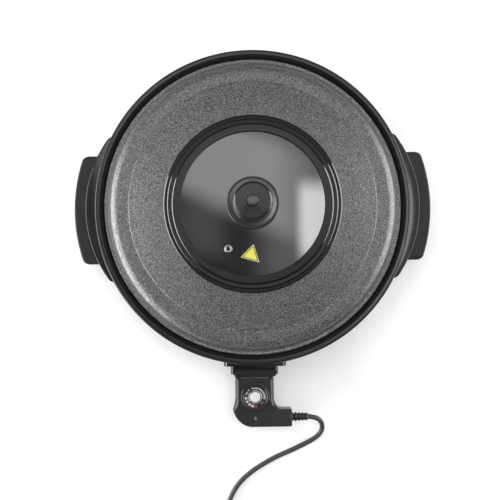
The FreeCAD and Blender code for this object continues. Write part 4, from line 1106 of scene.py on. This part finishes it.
class PARTYPAN_OT_dial(bpy.types.Operator):
    """Dial, its printed scale, ring and cap"""
    bl_idname = "party_pan.dial"
    bl_label = "Dial"

    def execute(self, context):
        low, high = (corner[2] for corner in span("dial_knob"))
        knob = rounded([(0, low), (19.4, low), (19.6, 44.6, 0.3), (19.6, high, 1.7), (16.6, high, 0.9),
                (15.6, DIAL_FACE, 0.5), (9.8, DIAL_FACE), (9.8, 48.6), (0, 48.6)], step=math.radians(12))
        ring = rounded([(7.7, 48.5), (9.4, 48.5), (9.4, 50.6, 0.8), (7.7, 50.8, 0.8)])
        cap = rounded([(0, 48.6), (7.0, 48.6), (7.0, 51.3, 0.9), (3.0, 52.0, 6.0), (0, 52.0)])
        mesh_of("dial_disc", turned(knob, DIAL, sides=128), "dial_plastic", "dial", ["dial_knob"])
        mesh_of("dial_bezel", turned(ring, DIAL, sides=96), "chrome", "dial", ["dial_ring"])
        mesh_of("dial_button", turned(cap, DIAL, sides=96), "cap_white", "dial", ["dial_cap"])
        white = [sector(10.8, 14.3, angle - 7.6, angle + 7.6) for angle in (198, 219, 241, 263)]
        white += [sector(11.4, 14.0, angle - 3.0, angle + 3.0) for angle in (288, 299, 316)]
        white += [sector(11.0, 13.9, 338, 343), sector(11.2, 13.9, -13, 104, taper=1.6)]
        grey = [sector(11.0, 13.2, angle - 4.0, angle + 4.0) for angle in (124, 137)]
        for name, marks, finish_name in (("dial_scale", white, "print_white"),
                ("dial_scale_faint", grey, "print_grey"),
                ("dial_off_mark", [sector(10.9, 14.2, 172, 186)], "print_red")):
            mesh_of(name, joined(marks), finish_name, "dial", ())
        return {"FINISHED"}


class PARTYPAN_OT_inner(bpy.types.Operator):
    """Finishes of the pieces whose shape is already right"""
    bl_idname = "party_pan.inner"
    bl_label = "Inner pieces"

    def execute(self, context):
        for entry in frame["record"]["subparts"]:
            node = frame["nodes"][entry["node"]]
            if node.type == "MESH":
                node.data.materials.clear()
                node.data.materials.append(finish(entry["material_slot"]))
        return {"FINISHED"}


STEPS = ("stage", "lead", "pan", "lid", "knob", "handles", "socket", "thermostat", "dial", "inner")


class PARTYPAN_PT_panel(bpy.types.Panel):
    """Lists the pieces"""
    bl_idname = "PARTYPAN_PT_panel"
    bl_label = "Party pan"
    bl_space_type = "VIEW_3D"
    bl_region_type = "UI"
    bl_category = "Party pan"

    def draw(self, context):
        for step in STEPS:
            self.layout.operator("party_pan." + step)


CLASSES = (PartyPanLook, PartyPanStage, PARTYPAN_OT_stage, PARTYPAN_OT_lead, PARTYPAN_OT_pan, PARTYPAN_OT_lid,
        PARTYPAN_OT_knob, PARTYPAN_OT_handles, PARTYPAN_OT_socket, PARTYPAN_OT_thermostat, PARTYPAN_OT_dial,
        PARTYPAN_OT_inner, PARTYPAN_PT_panel)


def register():
    for item in CLASSES:
        bpy.utils.register_class(item)
    bpy.types.Scene.party_pan_look = bpy.props.PointerProperty(type=PartyPanLook)
    bpy.types.Scene.party_pan_stage = bpy.props.PointerProperty(type=PartyPanStage)


def unregister():
    del bpy.types.Scene.party_pan_stage
    del bpy.types.Scene.party_pan_look
    for item in reversed(CLASSES):
        bpy.utils.unregister_class(item)


def main():
    register()
    for step in STEPS:
        getattr(bpy.ops.party_pan, step)()


if __name__ == "__main__":
    main()
